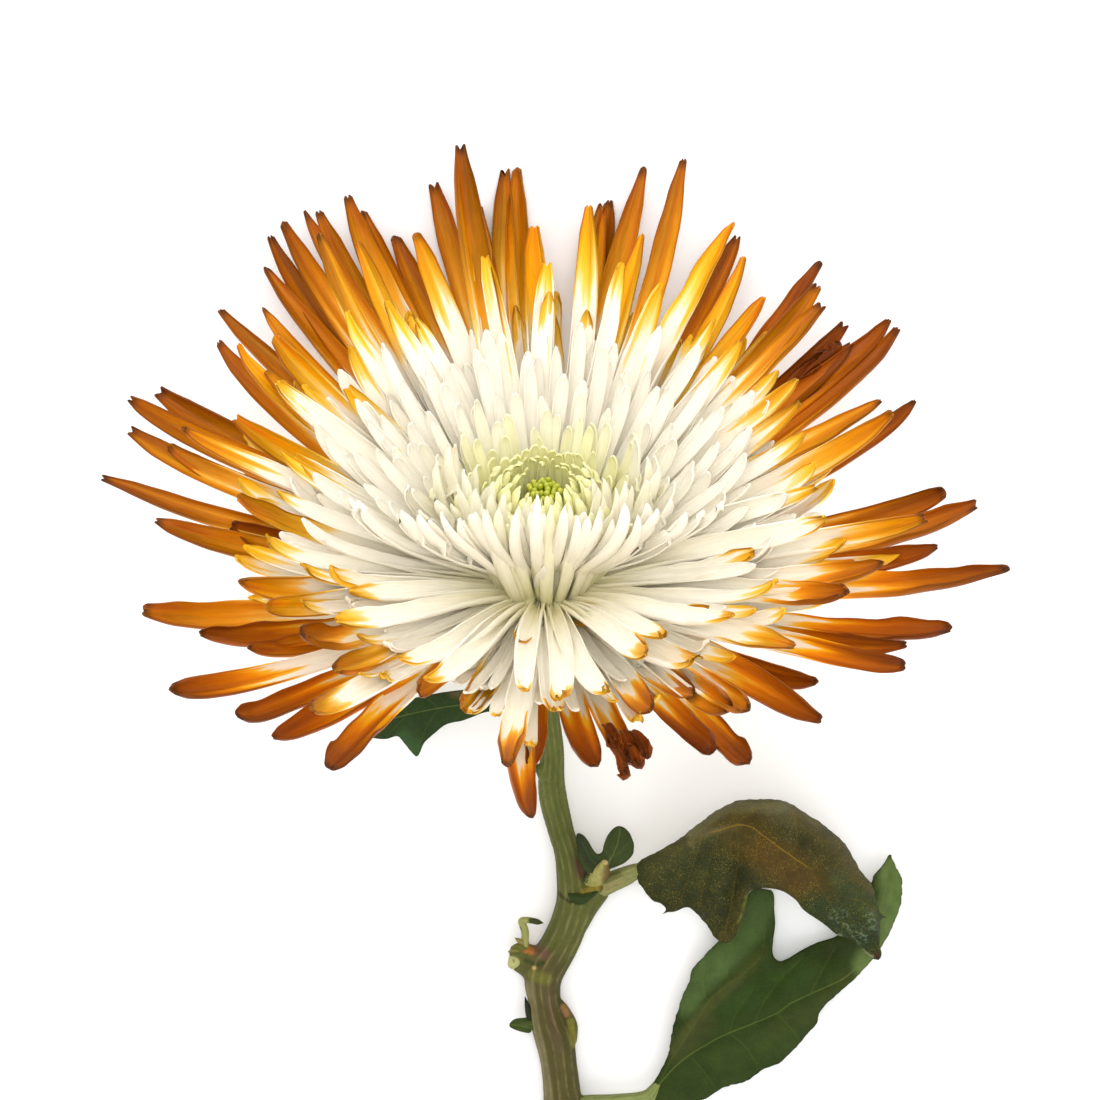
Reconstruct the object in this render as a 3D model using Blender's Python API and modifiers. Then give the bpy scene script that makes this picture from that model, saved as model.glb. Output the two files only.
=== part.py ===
"""Spider chrysanthemum: one cut flower, lying on its side on a flat surface.

The head's face points up and towards +Y, and the stem runs along the surface towards -Y.
Metres, +Z up. The surface is z = 0, and the origin lies under the middle of the flower's outline.
Places that were read from the photograph are pixels of its 1100 x 1100 frame, seen from straight above.
"""

from math import atan2, cos, exp, log1p, pi, radians, sin, sqrt
from random import Random

import bmesh
import bpy
from mathutils import Matrix, Vector
from mathutils.geometry import delaunay_2d_cdt

MM = 0.001

# The view that the pixels belong to
PIXEL = 0.160 * MM  # one pixel's size on the surface
VIEW_HEIGHT = 1.0
VIEW_CENTRE_PX = (550, 550)
ORIGIN_PX = (554, 655)

# The head
HEAD_PX = (544, 606)
HEAD_HEIGHT = 27 * MM
TILT = radians(40)  # of the head's axis above the surface
CORE_RADIUS = 10 * MM
CORE_RISE = 16 * MM
CORE_BASE = -2 * MM
ROOT_DEPTH = 0.86  # of a floret's root, as a share of the way from the head's centre to the core's skin
GAP = 0.3 * MM  # between two pieces that touch

# Ray florets
SEED = 11
GOLDEN_ANGLE = radians(137.508)
FLORET_THICKNESS = 1.0 * MM
ROOT_HANDLE = 0.36  # lengths of the centreline's handles, as shares of its reach
TIP_HANDLE = 0.26
RING_SHARES = (0.0, 0.45, 0.80, 0.95)  # where the cross sections stand along the centreline
RING_WIDTHS = (0.30, 0.80, 1.0, 0.68)  # their widths, as shares of the floret's width
EDGE_LIFT = 0.35  # how far the edges of the channel turn up, as a share of half its width
GROOVE_SHARE = 0.35  # of the thickness that lies above the centreline, in the groove
THIN_SHARE = 0.65  # of the full thickness that the narrowest section keeps
SURFACE_SOFTNESS = 1.6 * MM  # how gently a floret eases off along the surface
RIM_RISE = (radians(6), radians(14))  # how steeply a rim floret leaves its root, above its chord
RIM_HOOK = (radians(14), radians(40))  # how far its tip turns up
RIM_TWIST = radians(28)
RIM_WIDTHS = (0.82, 1.12)
INNER_COUNT = 165
INNER_CYCLE = 5
INNER_KEPT = (0, 2)  # of each cycle of inner florets, the ones that these solids carry
INNER_POLAR = (radians(13), radians(62))
INNER_REACH = (23 * MM, 55 * MM)
INNER_WIDTH = (1.7 * MM, 3.0 * MM)
INNER_RISE = (radians(-26), radians(4))
INNER_HOOK = (radians(24), radians(44))
INNER_TWIST = radians(30)
POLAR_POWER = 0.62  # how quickly the angle, the reach and the width grow from the innermost floret out
REACH_POWER = 0.8
WIDTH_POWER = 0.7
REACH_SPREAD = (0.93, 1.05)
ANGLE_JITTER = 0.06
ROOT_POLARS = (radians(27), radians(57))  # where the inner florets' roots sit on the core

# Layers of the long outer florets, from the outermost: rise above the head's plane at its sides, what
# the rise gains towards the top of the view, longest floret, where the roots sit on the core, and width
LAYERS = (
    (radians(19), radians(7), 76 * MM, radians(86), 3.9 * MM),
    (radians(27), radians(7), 69 * MM, radians(74), 3.7 * MM),
    (radians(34), radians(3), 58 * MM, radians(62), 3.3 * MM),
)

# Tips of the long florets, clockwise from twelve o'clock: pixel across, pixel down, layer
RIM_TIPS_PX = (
    (547, 262, 2), (588, 203, 1), (601, 201, 0), (609, 199, 0), (620, 262, 2), (644, 168, 0),
    (642, 233, 1), (682, 157, 0), (660, 283, 2), (730, 220, 1), (738, 235, 0), (746, 256, 1),
    (714, 318, 2), (765, 296, 1), (819, 259, 0), (819, 284, 1), (822, 303, 1), (741, 340, 2),
    (846, 323, 0), (852, 343, 0), (798, 378, 2), (894, 322, 0), (902, 329, 0), (801, 401, 2),
    (881, 399, 1), (894, 411, 1), (919, 402, 0), (816, 487, 2), (947, 492, 0), (977, 503, 0),
    (927, 517, 1), (830, 515, 2), (741, 506, 2), (939, 546, 0), (883, 562, 1), (1005, 565, 0),
    (751, 551, 2), (846, 590, 1), (733, 614, 2), (706, 607, 2), (950, 626, 0), (907, 644, 0),
    (664, 633, 2), (790, 642, 1), (910, 666, 0), (698, 660, 2), (821, 682, 0), (820, 719, 0),
    (645, 650, 2), (695, 693, 1), (728, 706, 1), (747, 708, 1), (749, 763, 0), (719, 751, 0),
    (591, 620, 2), (648, 706, 1), (634, 767, 0), (607, 689, 2), (596, 763, 0), (559, 697, 2),
    (555, 709, 2), (533, 760, 0), (530, 818, 0), (523, 695, 2), (507, 756, 1), (461, 708, 1),
    (516, 640, 2), (432, 677, 2), (413, 692, 1), (399, 658, 2), (330, 764, 0), (310, 708, 1),
    (271, 738, 0), (233, 720, 0), (338, 666, 1), (171, 689, 0), (246, 649, 0), (298, 634, 1),
    (342, 617, 2), (198, 634, 0), (145, 609, 0), (263, 604, 1), (241, 582, 1), (356, 589, 2),
    (324, 570, 2), (231, 525, 0), (157, 520, 0), (235, 498, 1), (104, 474, 0), (168, 445, 0),
    (128, 429, 0), (278, 452, 2), (294, 455, 2), (179, 428, 1), (128, 397, 0), (157, 391, 0),
    (236, 418, 1), (346, 386, 2), (265, 370, 1), (275, 381, 2), (284, 380, 2), (216, 341, 0),
    (233, 345, 1), (218, 309, 0), (273, 337, 1), (345, 311, 2), (262, 307, 1), (264, 267, 0),
    (268, 235, 0), (282, 221, 0), (304, 211, 0), (318, 209, 0), (320, 232, 1), (359, 241, 1),
    (346, 195, 0), (361, 209, 0), (394, 235, 0), (416, 317, 2), (418, 232, 1), (435, 184, 0),
    (385, 300, 2), (459, 144, 0), (473, 224, 1), (479, 206, 0), (485, 255, 2), (504, 168, 0),
    (517, 168, 0), (533, 224, 1),
)

# The green eye
EYE_RADIUS = 2.7 * MM
EYE_TOP = 22 * MM
EYE_COUNT = 26
EYE_FILL = 0.78
NUB_RADII = (0.34 * MM, 0.42 * MM)
NUB_DEPTH = 2.4 * MM
NUB_SPREAD = 0.5 * MM
NUB_LEAN = (0.8, 1.1)  # of a nub's foot and head from the axis, as shares of its place in the eye
EYE_DOME = 1.0 * MM

# The involucre
CUP_RADIUS = 9.4 * MM
CUP_DEPTH = 8.5 * MM
BRACT_WIDTH = 2.6 * MM
BRACT_STANDOFF = 1.9 * MM  # of a bract's tip from the cup
BRACT_CURVE = 0.35
BRACT_ROWS = ((0.40, 9, 3.6 * MM), (0.78, 12, 3.7 * MM))  # way up the cup, count, length

# The stem below its neck: pixel across, pixel down, height and radius
NECK = ((0, 2.5 * MM), (3 * MM, 2.2 * MM))  # way down from the involucre, and radius
STEM_PATH = (
    (547, 710, 13.3 * MM, 1.9 * MM), (552, 752, 9.3 * MM, 1.9 * MM), (552, 789, 6.8 * MM, 2.2 * MM),
    (560, 827, 5.0 * MM, 2.1 * MM),
    (568, 853, 4.3 * MM, 2.15 * MM), (573, 880, 3.8 * MM, 2.5 * MM), (574, 902, 3.4 * MM, 2.8 * MM),
    (568, 926, 3.1 * MM, 2.9 * MM), (559, 946, 3.0 * MM, 2.9 * MM), (547, 966, 3.1 * MM, 3.1 * MM),
    (543, 982, 3.0 * MM, 2.9 * MM), (545, 1003, 2.7 * MM, 2.5 * MM), (549, 1022, 2.9 * MM, 2.8 * MM),
    (555, 1040, 3.2 * MM, 3.1 * MM), (559, 1064, 2.9 * MM, 2.85 * MM), (562, 1090, 2.9 * MM, 2.9 * MM),
    (564, 1112, 3.2 * MM, 3.2 * MM), (566, 1135, 2.8 * MM, 2.8 * MM), (566, 1163, 2.8 * MM, 2.8 * MM),
)

# Short growths on the stem, each from its root to its end: pixel across, pixel down, height and radius
STEM_GROWTHS = (
    ((574, 902, 3.3 * MM, 2.6 * MM), (589, 893, 4.2 * MM, 2.1 * MM)),
    ((548, 967, 3.2 * MM, 2.3 * MM), (519, 951, 4.4 * MM, 1.8 * MM)),
    ((564, 1112, 3.1 * MM, 2.6 * MM), (584, 1107, 3.6 * MM, 1.9 * MM)),
    ((547, 702, 14.0 * MM, 1.5 * MM), (531, 704, 14.1 * MM, 1.1 * MM)),
    ((578, 902, 4.4 * MM, 1.5 * MM), (583, 895, 6.1 * MM, 0.9 * MM)),
    ((545, 771, 8.9 * MM, 1.3 * MM), (540, 768, 9.5 * MM, 0.9 * MM)),
    ((522, 953, 4.6 * MM, 0.7 * MM), (520, 929, 6.6 * MM, 0.55 * MM), (527, 920, 7.4 * MM, 0.55 * MM),
     (543, 922, 7.0 * MM, 0.4 * MM)),
)

LEAF_THICKNESS = 0.8 * MM

# Each blade: its outline, its midrib with heights, how far it drops to either side of the midrib, its
# waves, and its stalk with heights and radii
LEAVES = {
    "leaf_arched": {
        "outline": (
            (640, 858), (655, 853), (667, 847), (684, 836), (699, 824), (714, 813), (730, 804), (747, 800),
            (766, 800), (783, 801), (798, 809), (817, 821), (834, 834), (848, 849), (858, 868), (870, 883),
            (878, 900), (886, 918), (879, 923), (879, 940), (881, 955), (874, 959), (861, 948), (850, 939),
            (838, 935), (823, 923), (804, 910), (796, 900), (783, 891), (770, 888), (760, 888), (750, 891),
            (746, 904), (741, 923), (735, 937), (726, 943), (715, 937), (707, 925), (697, 913), (687, 907),
            (668, 913), (663, 906), (650, 900), (641, 887),
        ),
        "midrib": (
            (638, 871, 7.0 * MM), (667, 852, 11.0 * MM), (690, 843, 14.0 * MM), (720, 831, 17.0 * MM),
            (747, 827, 18.5 * MM), (768, 838, 18.8 * MM), (789, 855, 18.2 * MM), (810, 870, 17.0 * MM),
            (831, 887, 15.0 * MM), (848, 900, 13.0 * MM), (865, 919, 10.5 * MM), (875, 945, 8.0 * MM),
        ),
        "drop": (0.95, 0.42), "wave": 0.5 * MM,
        "stalk": (
            (593, 889, 4.5 * MM, 1.9 * MM), (612, 881, 5.2 * MM, 1.6 * MM), (638, 870, 6.9 * MM, 1.4 * MM),
            (680, 846, 12.6 * MM, 0.8 * MM),
        ),
    },
    "leaf_lower": {
        "outline": (
            (889, 856), (895, 864), (901, 879), (902, 894), (897, 915), (890, 931), (882, 946), (871, 961),
            (857, 976), (842, 990), (827, 1003), (819, 1014), (816, 1024), (807, 1034), (794, 1049),
            (780, 1062), (762, 1070), (744, 1082), (726, 1086), (706, 1098), (682, 1104), (656, 1106),
            (648, 1098), (652, 1086), (661, 1070), (670, 1049), (672, 1033), (676, 1018), (680, 1003),
            (689, 982), (693, 969), (707, 953), (719, 941), (738, 917), (751, 891), (762, 889), (773, 893),
            (774, 910), (775, 925), (773, 942), (773, 955), (779, 961), (787, 959), (802, 950), (819, 942),
            (838, 935), (854, 918), (866, 899), (871, 883), (874, 875), (882, 866),
        ),
        "midrib": (
            (648, 1098, 3.4 * MM), (680, 1064, 4.2 * MM), (709, 1041, 4.8 * MM), (747, 1024, 5.0 * MM),
            (779, 1009, 4.8 * MM), (800, 995, 4.4 * MM), (821, 984, 4.0 * MM), (842, 975, 3.4 * MM),
            (862, 955, 2.8 * MM), (876, 925, 2.4 * MM), (885, 890, 2.6 * MM), (889, 864, 3.4 * MM),
        ),
        "drop": (0.10, 0.16), "wave": 0.6 * MM,
        "stalk": (
            (588, 1106, 3.8 * MM, 1.7 * MM), (618, 1103, 3.9 * MM, 1.4 * MM),
            (648, 1097, 3.6 * MM, 1.2 * MM), (690, 1055, 4.3 * MM, 0.8 * MM),
        ),
    },
    "leaf_under_bloom": {
        "outline": (
            (361, 722), (365, 713), (380, 708), (398, 703), (415, 698), (440, 693), (464, 690), (488, 692),
            (500, 699), (496, 709), (482, 713), (464, 720), (447, 724), (436, 732), (424, 743), (417, 756),
            (406, 745), (398, 736), (386, 739), (371, 737), (366, 730),
        ),
        "midrib": (
            (500, 703, 13.4 * MM), (470, 704, 12.2 * MM), (440, 708, 10.4 * MM), (410, 714, 8.4 * MM),
            (385, 720, 6.4 * MM), (366, 723, 5.0 * MM),
        ),
        "drop": (0.25, 0.25), "wave": 0.3 * MM,
        "stalk": (
            (526, 704, 14.1 * MM, 1.0 * MM), (500, 703, 13.4 * MM, 0.9 * MM),
            (450, 706, 11.0 * MM, 0.55 * MM),
        ),
    },
    "leaflet_round": {
        "outline": (
            (603, 853), (606, 839), (612, 830), (619, 826), (627, 832), (633, 844), (631, 853), (616, 858),
        ),
        "midrib": ((612, 857, 8.6 * MM), (618, 842, 10.2 * MM), (620, 830, 10.6 * MM)),
        "drop": (0.15, 0.15), "wave": 0.1 * MM,
        "stalk": (
            (592, 874, 6.6 * MM, 0.9 * MM), (602, 866, 7.6 * MM, 0.8 * MM), (613, 855, 8.8 * MM, 0.5 * MM),
        ),
    },
    "leaflet_low": {
        "outline": ((527, 1014), (526, 1032), (517, 1029), (509, 1025), (517, 1019)),
        "midrib": ((527, 1023, 3.6 * MM), (518, 1024, 3.4 * MM), (511, 1025, 2.8 * MM)),
        "drop": (0.1, 0.1), "wave": 0.0,
        "stalk": ((528, 1023, 3.7 * MM, 0.7 * MM), (519, 1024, 3.4 * MM, 0.45 * MM)),
    },
}
LEAF_GRID_PX = 24  # spacing of the points inside a blade
WAVE_LENGTH = 11 * MM
WAVE_SHIFT = 1.2  # between the two halves of a blade
WAVE_RAMP = 5 * MM  # from the midrib to where the waves are full

COLOURS = {
    "ray_florets": (0.95, 0.80, 0.45, 1),
    "disc_florets": (0.40, 0.52, 0.08, 1),
    "involucre": (0.16, 0.24, 0.08, 1),
    "stem": (0.24, 0.28, 0.12, 1),
    "leaf_arched": (0.05, 0.09, 0.03, 1),
    "leaf_lower": (0.08, 0.17, 0.07, 1),
    "leaf_under_bloom": (0.05, 0.10, 0.04, 1),
    "leaflet_round": (0.07, 0.13, 0.04, 1),
    "leaflet_low": (0.07, 0.13, 0.04, 1),
}

AXIS = Vector((0, cos(TILT), sin(TILT)))
NEAR = Vector((0, -sin(TILT), cos(TILT)))  # in the head's plane, towards the viewer
ACROSS = Vector((1, 0, 0))


def at(across, down, height):
    """The place at this height that the view shows at a pixel."""
    spread = PIXEL * (1 - height / VIEW_HEIGHT)
    x = (across - VIEW_CENTRE_PX[0]) * spread + (VIEW_CENTRE_PX[0] - ORIGIN_PX[0]) * PIXEL
    y = (VIEW_CENTRE_PX[1] - down) * spread + (ORIGIN_PX[1] - VIEW_CENTRE_PX[1]) * PIXEL
    return Vector((x, y, height))


HEAD = at(*HEAD_PX, HEAD_HEIGHT)


def between(limits, share):
    return limits[0] + (limits[1] - limits[0]) * share


def outward(azimuth):
    """The direction in the head's plane at an angle about its axis."""
    return ACROSS * cos(azimuth) + NEAR * sin(azimuth)


def add_object(name, mesh, collection):
    item = bpy.data.objects.new(name, mesh)
    collection.objects.link(item)
    return item


def finished_mesh(item):
    """A plain mesh of an object with its curve and modifiers worked out, in world places."""
    depsgraph = bpy.context.evaluated_depsgraph_get()
    mesh = bpy.data.meshes.new_from_object(item.evaluated_get(depsgraph))
    mesh.transform(item.matrix_world)
    return mesh


def settle(item, collection):
    """Swap an object for its finished mesh in world places, with doubled points joined."""
    bpy.context.view_layer.update()
    mesh = finished_mesh(item)
    name = item.name
    bpy.data.objects.remove(item)
    shape = bmesh.new()
    shape.from_mesh(mesh)
    bmesh.ops.remove_doubles(shape, verts=shape.verts, dist=1e-6)
    bmesh.ops.recalc_face_normals(shape, faces=shape.faces)
    bmesh.ops.triangulate(shape, faces=shape.faces)
    shape.to_mesh(mesh)
    shape.free()
    return add_object(name, mesh, collection)


def tube(name, path, collection, resolution=2, sides=3):
    """A round, tapering tube through places with radii."""
    curve = bpy.data.curves.new(name, "CURVE")
    curve.dimensions = "3D"
    curve.bevel_depth = MM
    curve.bevel_resolution = sides
    curve.use_fill_caps = True
    curve.resolution_u = resolution
    spline = curve.splines.new("BEZIER")
    spline.bezier_points.add(len(path) - 1)
    for point, (place, radius) in zip(spline.bezier_points, path):
        point.co = place
        point.radius = radius / MM
        point.handle_left_type = "AUTO"
        point.handle_right_type = "AUTO"
    return settle(add_object(name, curve, collection), collection)


def pixel_path(points):
    return [(at(across, down, height), radius) for across, down, height, radius in points]


def connected(shape):
    """The separate shells of a mesh, each as a list of faces."""
    seen = set()
    shells = []
    for start in shape.faces:
        if start in seen:
            continue
        seen.add(start)
        shell = [start]
        for face in shell:
            for edge in face.edges:
                fresh = [other for other in edge.link_faces if other not in seen]
                seen.update(fresh)
                shell.extend(fresh)
        shells.append(shell)
    return shells


def shell_volume(shell):
    """Signed volume inside a shell of triangles; a hollow's is negative."""
    total = 0.0
    for face in shell:
        first, second, third = (corner.co for corner in face.verts)
        total += first.dot(second.cross(third)) / 6
    return total


def fuse(base, pieces):
    """Join pieces to a base as one solid, with sealed hollows filled and loose scraps dropped."""
    group = bpy.data.collections.new(base.name + "_pieces")
    for piece in pieces:
        for owner in piece.users_collection:
            owner.objects.unlink(piece)
        group.objects.link(piece)
    join = base.modifiers.new("Join", "BOOLEAN")
    join.operation = "UNION"
    join.operand_type = "COLLECTION"
    join.collection = group
    join.solver = "MANIFOLD"
    bpy.context.view_layer.update()
    mesh = finished_mesh(base)
    base.modifiers.clear()
    for piece in pieces:
        bpy.data.objects.remove(piece)
    bpy.data.collections.remove(group)

    shape = bmesh.new()
    shape.from_mesh(mesh)
    bmesh.ops.triangulate(shape, faces=shape.faces)
    shells = connected(shape)
    body = max(shells, key=shell_volume)
    spare = [face for shell in shells if shell is not body for face in shell]
    bmesh.ops.delete(shape, geom=spare, context="FACES")
    shape.to_mesh(mesh)
    shape.free()
    base.data = mesh
    return base


def turned_towards(direction, aim, angle):
    """A direction turned by an angle towards another one."""
    side = (aim - direction * aim.dot(direction)).normalized()
    return direction * cos(angle) + side * sin(angle)


def bend(root, first, last, tip, share):
    """Place and direction at a share of the way along a curved line."""
    rest = 1 - share
    place = root * rest**3 + first * 3 * rest**2 * share + last * 3 * rest * share**2 + tip * share**3
    heading = (first - root) * rest**2 + (last - first) * 2 * rest * share + (tip - last) * share**2
    return place, heading.normalized()


def floret(shape, root, tip, rise, hook, width, twist=0.0):
    """Add one long floret: a channelled strap from its root to a pointed, hooked tip."""
    chord = (tip - root).normalized()
    reach = (tip - root).length
    first = root + turned_towards(chord, AXIS, rise) * reach * ROOT_HANDLE
    last = tip - turned_towards(chord, AXIS, hook) * reach * TIP_HANDLE
    middle = (root + tip) / 2 - HEAD
    out = (middle - AXIS * middle.dot(AXIS)).normalized()
    rings = []
    for share, narrowing in zip(RING_SHARES, RING_WIDTHS):
        place, heading = bend(root, first, last, tip, share)
        inner_face = AXIS * heading.dot(out) - out * heading.dot(AXIS)
        inner_face = (inner_face - heading * inner_face.dot(heading)).normalized()
        inner_face.rotate(Matrix.Rotation(twist * share, 3, heading))
        side = heading.cross(inner_face)
        half = width / 2 * narrowing
        depth = FLORET_THICKNESS * (THIN_SHARE + (1 - THIN_SHARE) * narrowing)
        offsets = (
            side * -half + inner_face * half * EDGE_LIFT,
            inner_face * depth * GROOVE_SHARE,
            side * half + inner_face * half * EDGE_LIFT,
            inner_face * -depth * (1 - GROOVE_SHARE),
        )
        place.z = raised(place.z, max(-offset.z for offset in offsets))
        rings.append([shape.verts.new(place + offset) for offset in offsets])
    end = tip.copy()
    end.z = raised(end.z, 0.0)
    apex = shape.verts.new(end)
    for low, high in zip(rings, rings[1:]):
        for index in range(4):
            following = (index + 1) % 4
            shape.faces.new((low[index], low[following], high[following]))
            shape.faces.new((low[index], high[following], high[index]))
    for index in range(4):
        shape.faces.new((rings[-1][index], rings[-1][(index + 1) % 4], apex))
    shape.faces.new((rings[0][3], rings[0][2], rings[0][1]))
    shape.faces.new((rings[0][3], rings[0][1], rings[0][0]))


def raised(height, needed):
    """A height eased up so that what hangs this far below it stays off the surface."""
    return needed + SURFACE_SOFTNESS * log1p(exp((height - needed) / SURFACE_SOFTNESS))


def add_floret(name, collection, *shape_values):
    shape = bmesh.new()
    floret(shape, *shape_values)
    bmesh.ops.recalc_face_normals(shape, faces=shape.faces)
    mesh = bpy.data.meshes.new(name)
    shape.to_mesh(mesh)
    shape.free()
    return add_object(name, mesh, collection)


def core_place(polar, azimuth, depth=1.0):
    """A place in the core at an angle from the axis, at this share of the way to its skin."""
    return HEAD + (outward(azimuth) * CORE_RADIUS * sin(polar) + AXIS * CORE_RISE * cos(polar)) * depth


def rim_tip(across, down, layer):
    """Where a long floret ends: on its layer's cone, at its pixel, but not past the layer's reach."""
    side_rise, gain, longest = LAYERS[layer][:3]
    height = HEAD_HEIGHT
    for _ in range(6):
        place = at(across, down, height) - HEAD
        upness = place.y / sqrt(place.x**2 + place.y**2)
        steep = sin(side_rise + gain * upness) ** 2
        square = AXIS.z**2 - steep
        linear = 2 * place.y * AXIS.y * AXIS.z
        plain = (place.y * AXIS.y) ** 2 - steep * (place.x**2 + place.y**2)
        rise = (-linear + sqrt(max(linear**2 - 4 * square * plain, 0.0))) / (2 * square)
        room = sqrt(max(longest**2 - place.x**2 - place.y**2, 0.0))
        rise = max(-room, min(room, rise))
        height = HEAD_HEIGHT + rise
    return at(across, down, height)


def rim_florets(collection):
    """The long outer florets, each through its own tip pixel."""
    draw = Random(SEED)
    pieces = []
    for number, (across, down, layer) in enumerate(RIM_TIPS_PX):
        root_polar, width = LAYERS[layer][3:]
        tip = rim_tip(across, down, layer)
        away = tip - HEAD
        azimuth = atan2(away.dot(NEAR), away.dot(ACROSS))
        root = core_place(root_polar + draw.uniform(-ANGLE_JITTER, ANGLE_JITTER), azimuth, ROOT_DEPTH)
        rise = draw.uniform(*RIM_RISE)
        hook = draw.uniform(*RIM_HOOK)
        twist = draw.uniform(-RIM_TWIST, RIM_TWIST)
        broad = width * draw.uniform(*RIM_WIDTHS)
        pieces.append(add_floret("rim_%d" % number, collection, root, tip, rise, hook, broad, twist))
    return pieces


def inner_florets(collection):
    """The shorter florets that fill the head round its eye, by the golden angle."""
    draw = Random(SEED + 1)
    pieces = []
    for number in range(INNER_COUNT):
        out = (number + 0.5) / INNER_COUNT
        polar = between(INNER_POLAR, out**POLAR_POWER) + draw.uniform(-ANGLE_JITTER, ANGLE_JITTER)
        reach = between(INNER_REACH, out**REACH_POWER) * draw.uniform(*REACH_SPREAD)
        azimuth = number * GOLDEN_ANGLE + draw.uniform(-ANGLE_JITTER, ANGLE_JITTER)
        tip = HEAD + (outward(azimuth) * sin(polar) + AXIS * cos(polar)) * reach
        root = core_place(between(ROOT_POLARS, out), azimuth, ROOT_DEPTH)
        rise = between(INNER_RISE, out)
        hook = draw.uniform(*INNER_HOOK)
        twist = draw.uniform(-INNER_TWIST, INNER_TWIST)
        width = between(INNER_WIDTH, out**WIDTH_POWER)
        if number % INNER_CYCLE in INNER_KEPT:
            pieces.append(add_floret("inner_%d" % number, collection, root, tip, rise, hook, width, twist))
    return pieces


def along_axis():
    """The turn that stands an upright shape on the head's centre along its axis."""
    return Matrix.Translation(HEAD) @ Matrix.Rotation(TILT - pi / 2, 4, "X")


def lathe(name, profile, steps, collection):
    """A solid turned about the head's axis from (radius, rise) pairs, the first and last on the axis."""
    mesh = bpy.data.meshes.new(name)
    verts = [(radius, 0, rise) for radius, rise in profile]
    mesh.from_pydata(verts, [(index, index + 1) for index in range(len(verts) - 1)], [])
    item = add_object(name, mesh, collection)
    turn = item.modifiers.new("Turn", "SCREW")
    turn.steps = steps
    turn.render_steps = steps
    turn.use_merge_vertices = True
    turn.merge_threshold = 1e-5
    item.matrix_world = along_axis()
    return settle(item, collection)


def build_ray_florets(collection):
    rounds = 5
    profile = [(0, CORE_BASE), (CORE_RADIUS * 0.9, CORE_BASE), (CORE_RADIUS, 0)]
    for step in range(1, rounds):
        angle = pi / 2 * step / rounds
        profile.append((CORE_RADIUS * cos(angle), CORE_RISE * sin(angle)))
    profile.append((0, CORE_RISE))
    core = lathe("ray_florets", profile, 20, collection)
    return fuse(core, rim_florets(collection) + inner_florets(collection))


def build_disc_florets(collection):
    base = CORE_RISE + GAP
    profile = [
        (0, base), (EYE_RADIUS * 0.72, base), (EYE_RADIUS * 0.8, base + 1.5 * MM),
        (EYE_RADIUS * 0.72, EYE_TOP - 2.0 * MM), (EYE_RADIUS * 0.4, EYE_TOP - 1.2 * MM),
        (0, EYE_TOP - 1.0 * MM),
    ]
    plug = lathe("disc_florets", profile, 14, collection)
    draw = Random(SEED + 2)
    nubs = []
    for number in range(EYE_COUNT):
        share = sqrt((number + 0.5) / EYE_COUNT)
        radius = EYE_RADIUS * EYE_FILL * share
        azimuth = number * GOLDEN_ANGLE
        low = EYE_TOP - NUB_DEPTH - share * EYE_DOME
        high = EYE_TOP - draw.uniform(0, NUB_SPREAD) - share * EYE_DOME
        foot = HEAD + outward(azimuth) * radius * NUB_LEAN[0] + AXIS * low
        head = HEAD + outward(azimuth) * radius * NUB_LEAN[1] + AXIS * high
        path = [(foot, NUB_RADII[0]), (head, NUB_RADII[1])]
        nubs.append(tube("nub_%d" % number, path, collection, 1, 0))
    return fuse(plug, nubs)


def build_involucre(collection):
    top = CORE_BASE - GAP
    foot = top - CUP_DEPTH
    profile = [
        (0, top), (CUP_RADIUS * 0.94, top), (CUP_RADIUS, top - 0.9 * MM), (CUP_RADIUS * 0.9, top - 2.6 * MM),
        (CUP_RADIUS * 0.68, top - 4.6 * MM), (CUP_RADIUS * 0.46, top - 6.6 * MM), (CUP_RADIUS * 0.34, foot),
        (0, foot),
    ]
    cup = lathe("involucre", profile, 18, collection)
    bracts = []
    for row, (share, count, length) in enumerate(BRACT_ROWS):
        for number in range(count):
            azimuth = 2 * pi * (number + row * 0.5) / count
            radius = CUP_RADIUS * (0.34 + 0.58 * share)
            axial = foot + (CUP_DEPTH - 1.4 * MM) * share
            root = HEAD + outward(azimuth) * (radius - 0.9 * MM) + AXIS * (axial - 1.0 * MM)
            end = min(axial + length, top + GAP)
            tip = HEAD + outward(azimuth) * (radius + BRACT_STANDOFF) + AXIS * end
            bract = add_floret(
                "bract_%d_%d" % (row, number), collection, root, tip, -BRACT_CURVE, BRACT_CURVE, BRACT_WIDTH
            )
            bracts.append(bract)
    return fuse(cup, bracts)


def build_stem(collection):
    top = CORE_BASE - GAP - CUP_DEPTH - GAP
    neck = [(HEAD + AXIS * (top - down), radius) for down, radius in NECK]
    stem = tube("stem", neck + pixel_path(STEM_PATH), collection, 2, 3)
    growths = [
        tube("growth_%d" % number, pixel_path(path), collection, 2, 2)
        for number, path in enumerate(STEM_GROWTHS)
    ]
    return fuse(stem, growths)


def nearest_on_rib(rib, across, down):
    """Height of the rib at its nearest place to a pixel, with the distance to it, its side and its run."""
    best = None
    run = 0.0
    for (x0, y0, h0), (x1, y1, h1) in zip(rib, rib[1:]):
        dx, dy = x1 - x0, y1 - y0
        length = sqrt(dx * dx + dy * dy)
        share = max(0.0, min(1.0, ((across - x0) * dx + (down - y0) * dy) / length**2))
        away = sqrt((across - x0 - dx * share) ** 2 + (down - y0 - dy * share) ** 2)
        left = dx * (down - y0) - dy * (across - x0) < 0
        if best is None or away < best[1]:
            best = (h0 + (h1 - h0) * share, away, left, run + length * share)
        run += length
    return best


def blade_height(leaf, across, down):
    height, away, left, run = nearest_on_rib(leaf["midrib"], across, down)
    away *= PIXEL
    slope = leaf["drop"][0 if left else 1]
    phase = 2 * pi * run * PIXEL / WAVE_LENGTH + (WAVE_SHIFT if left else 0)
    wave = leaf["wave"] * sin(phase) * min(1, away / WAVE_RAMP)
    return max(height - slope * away + wave, LEAF_THICKNESS)


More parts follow.
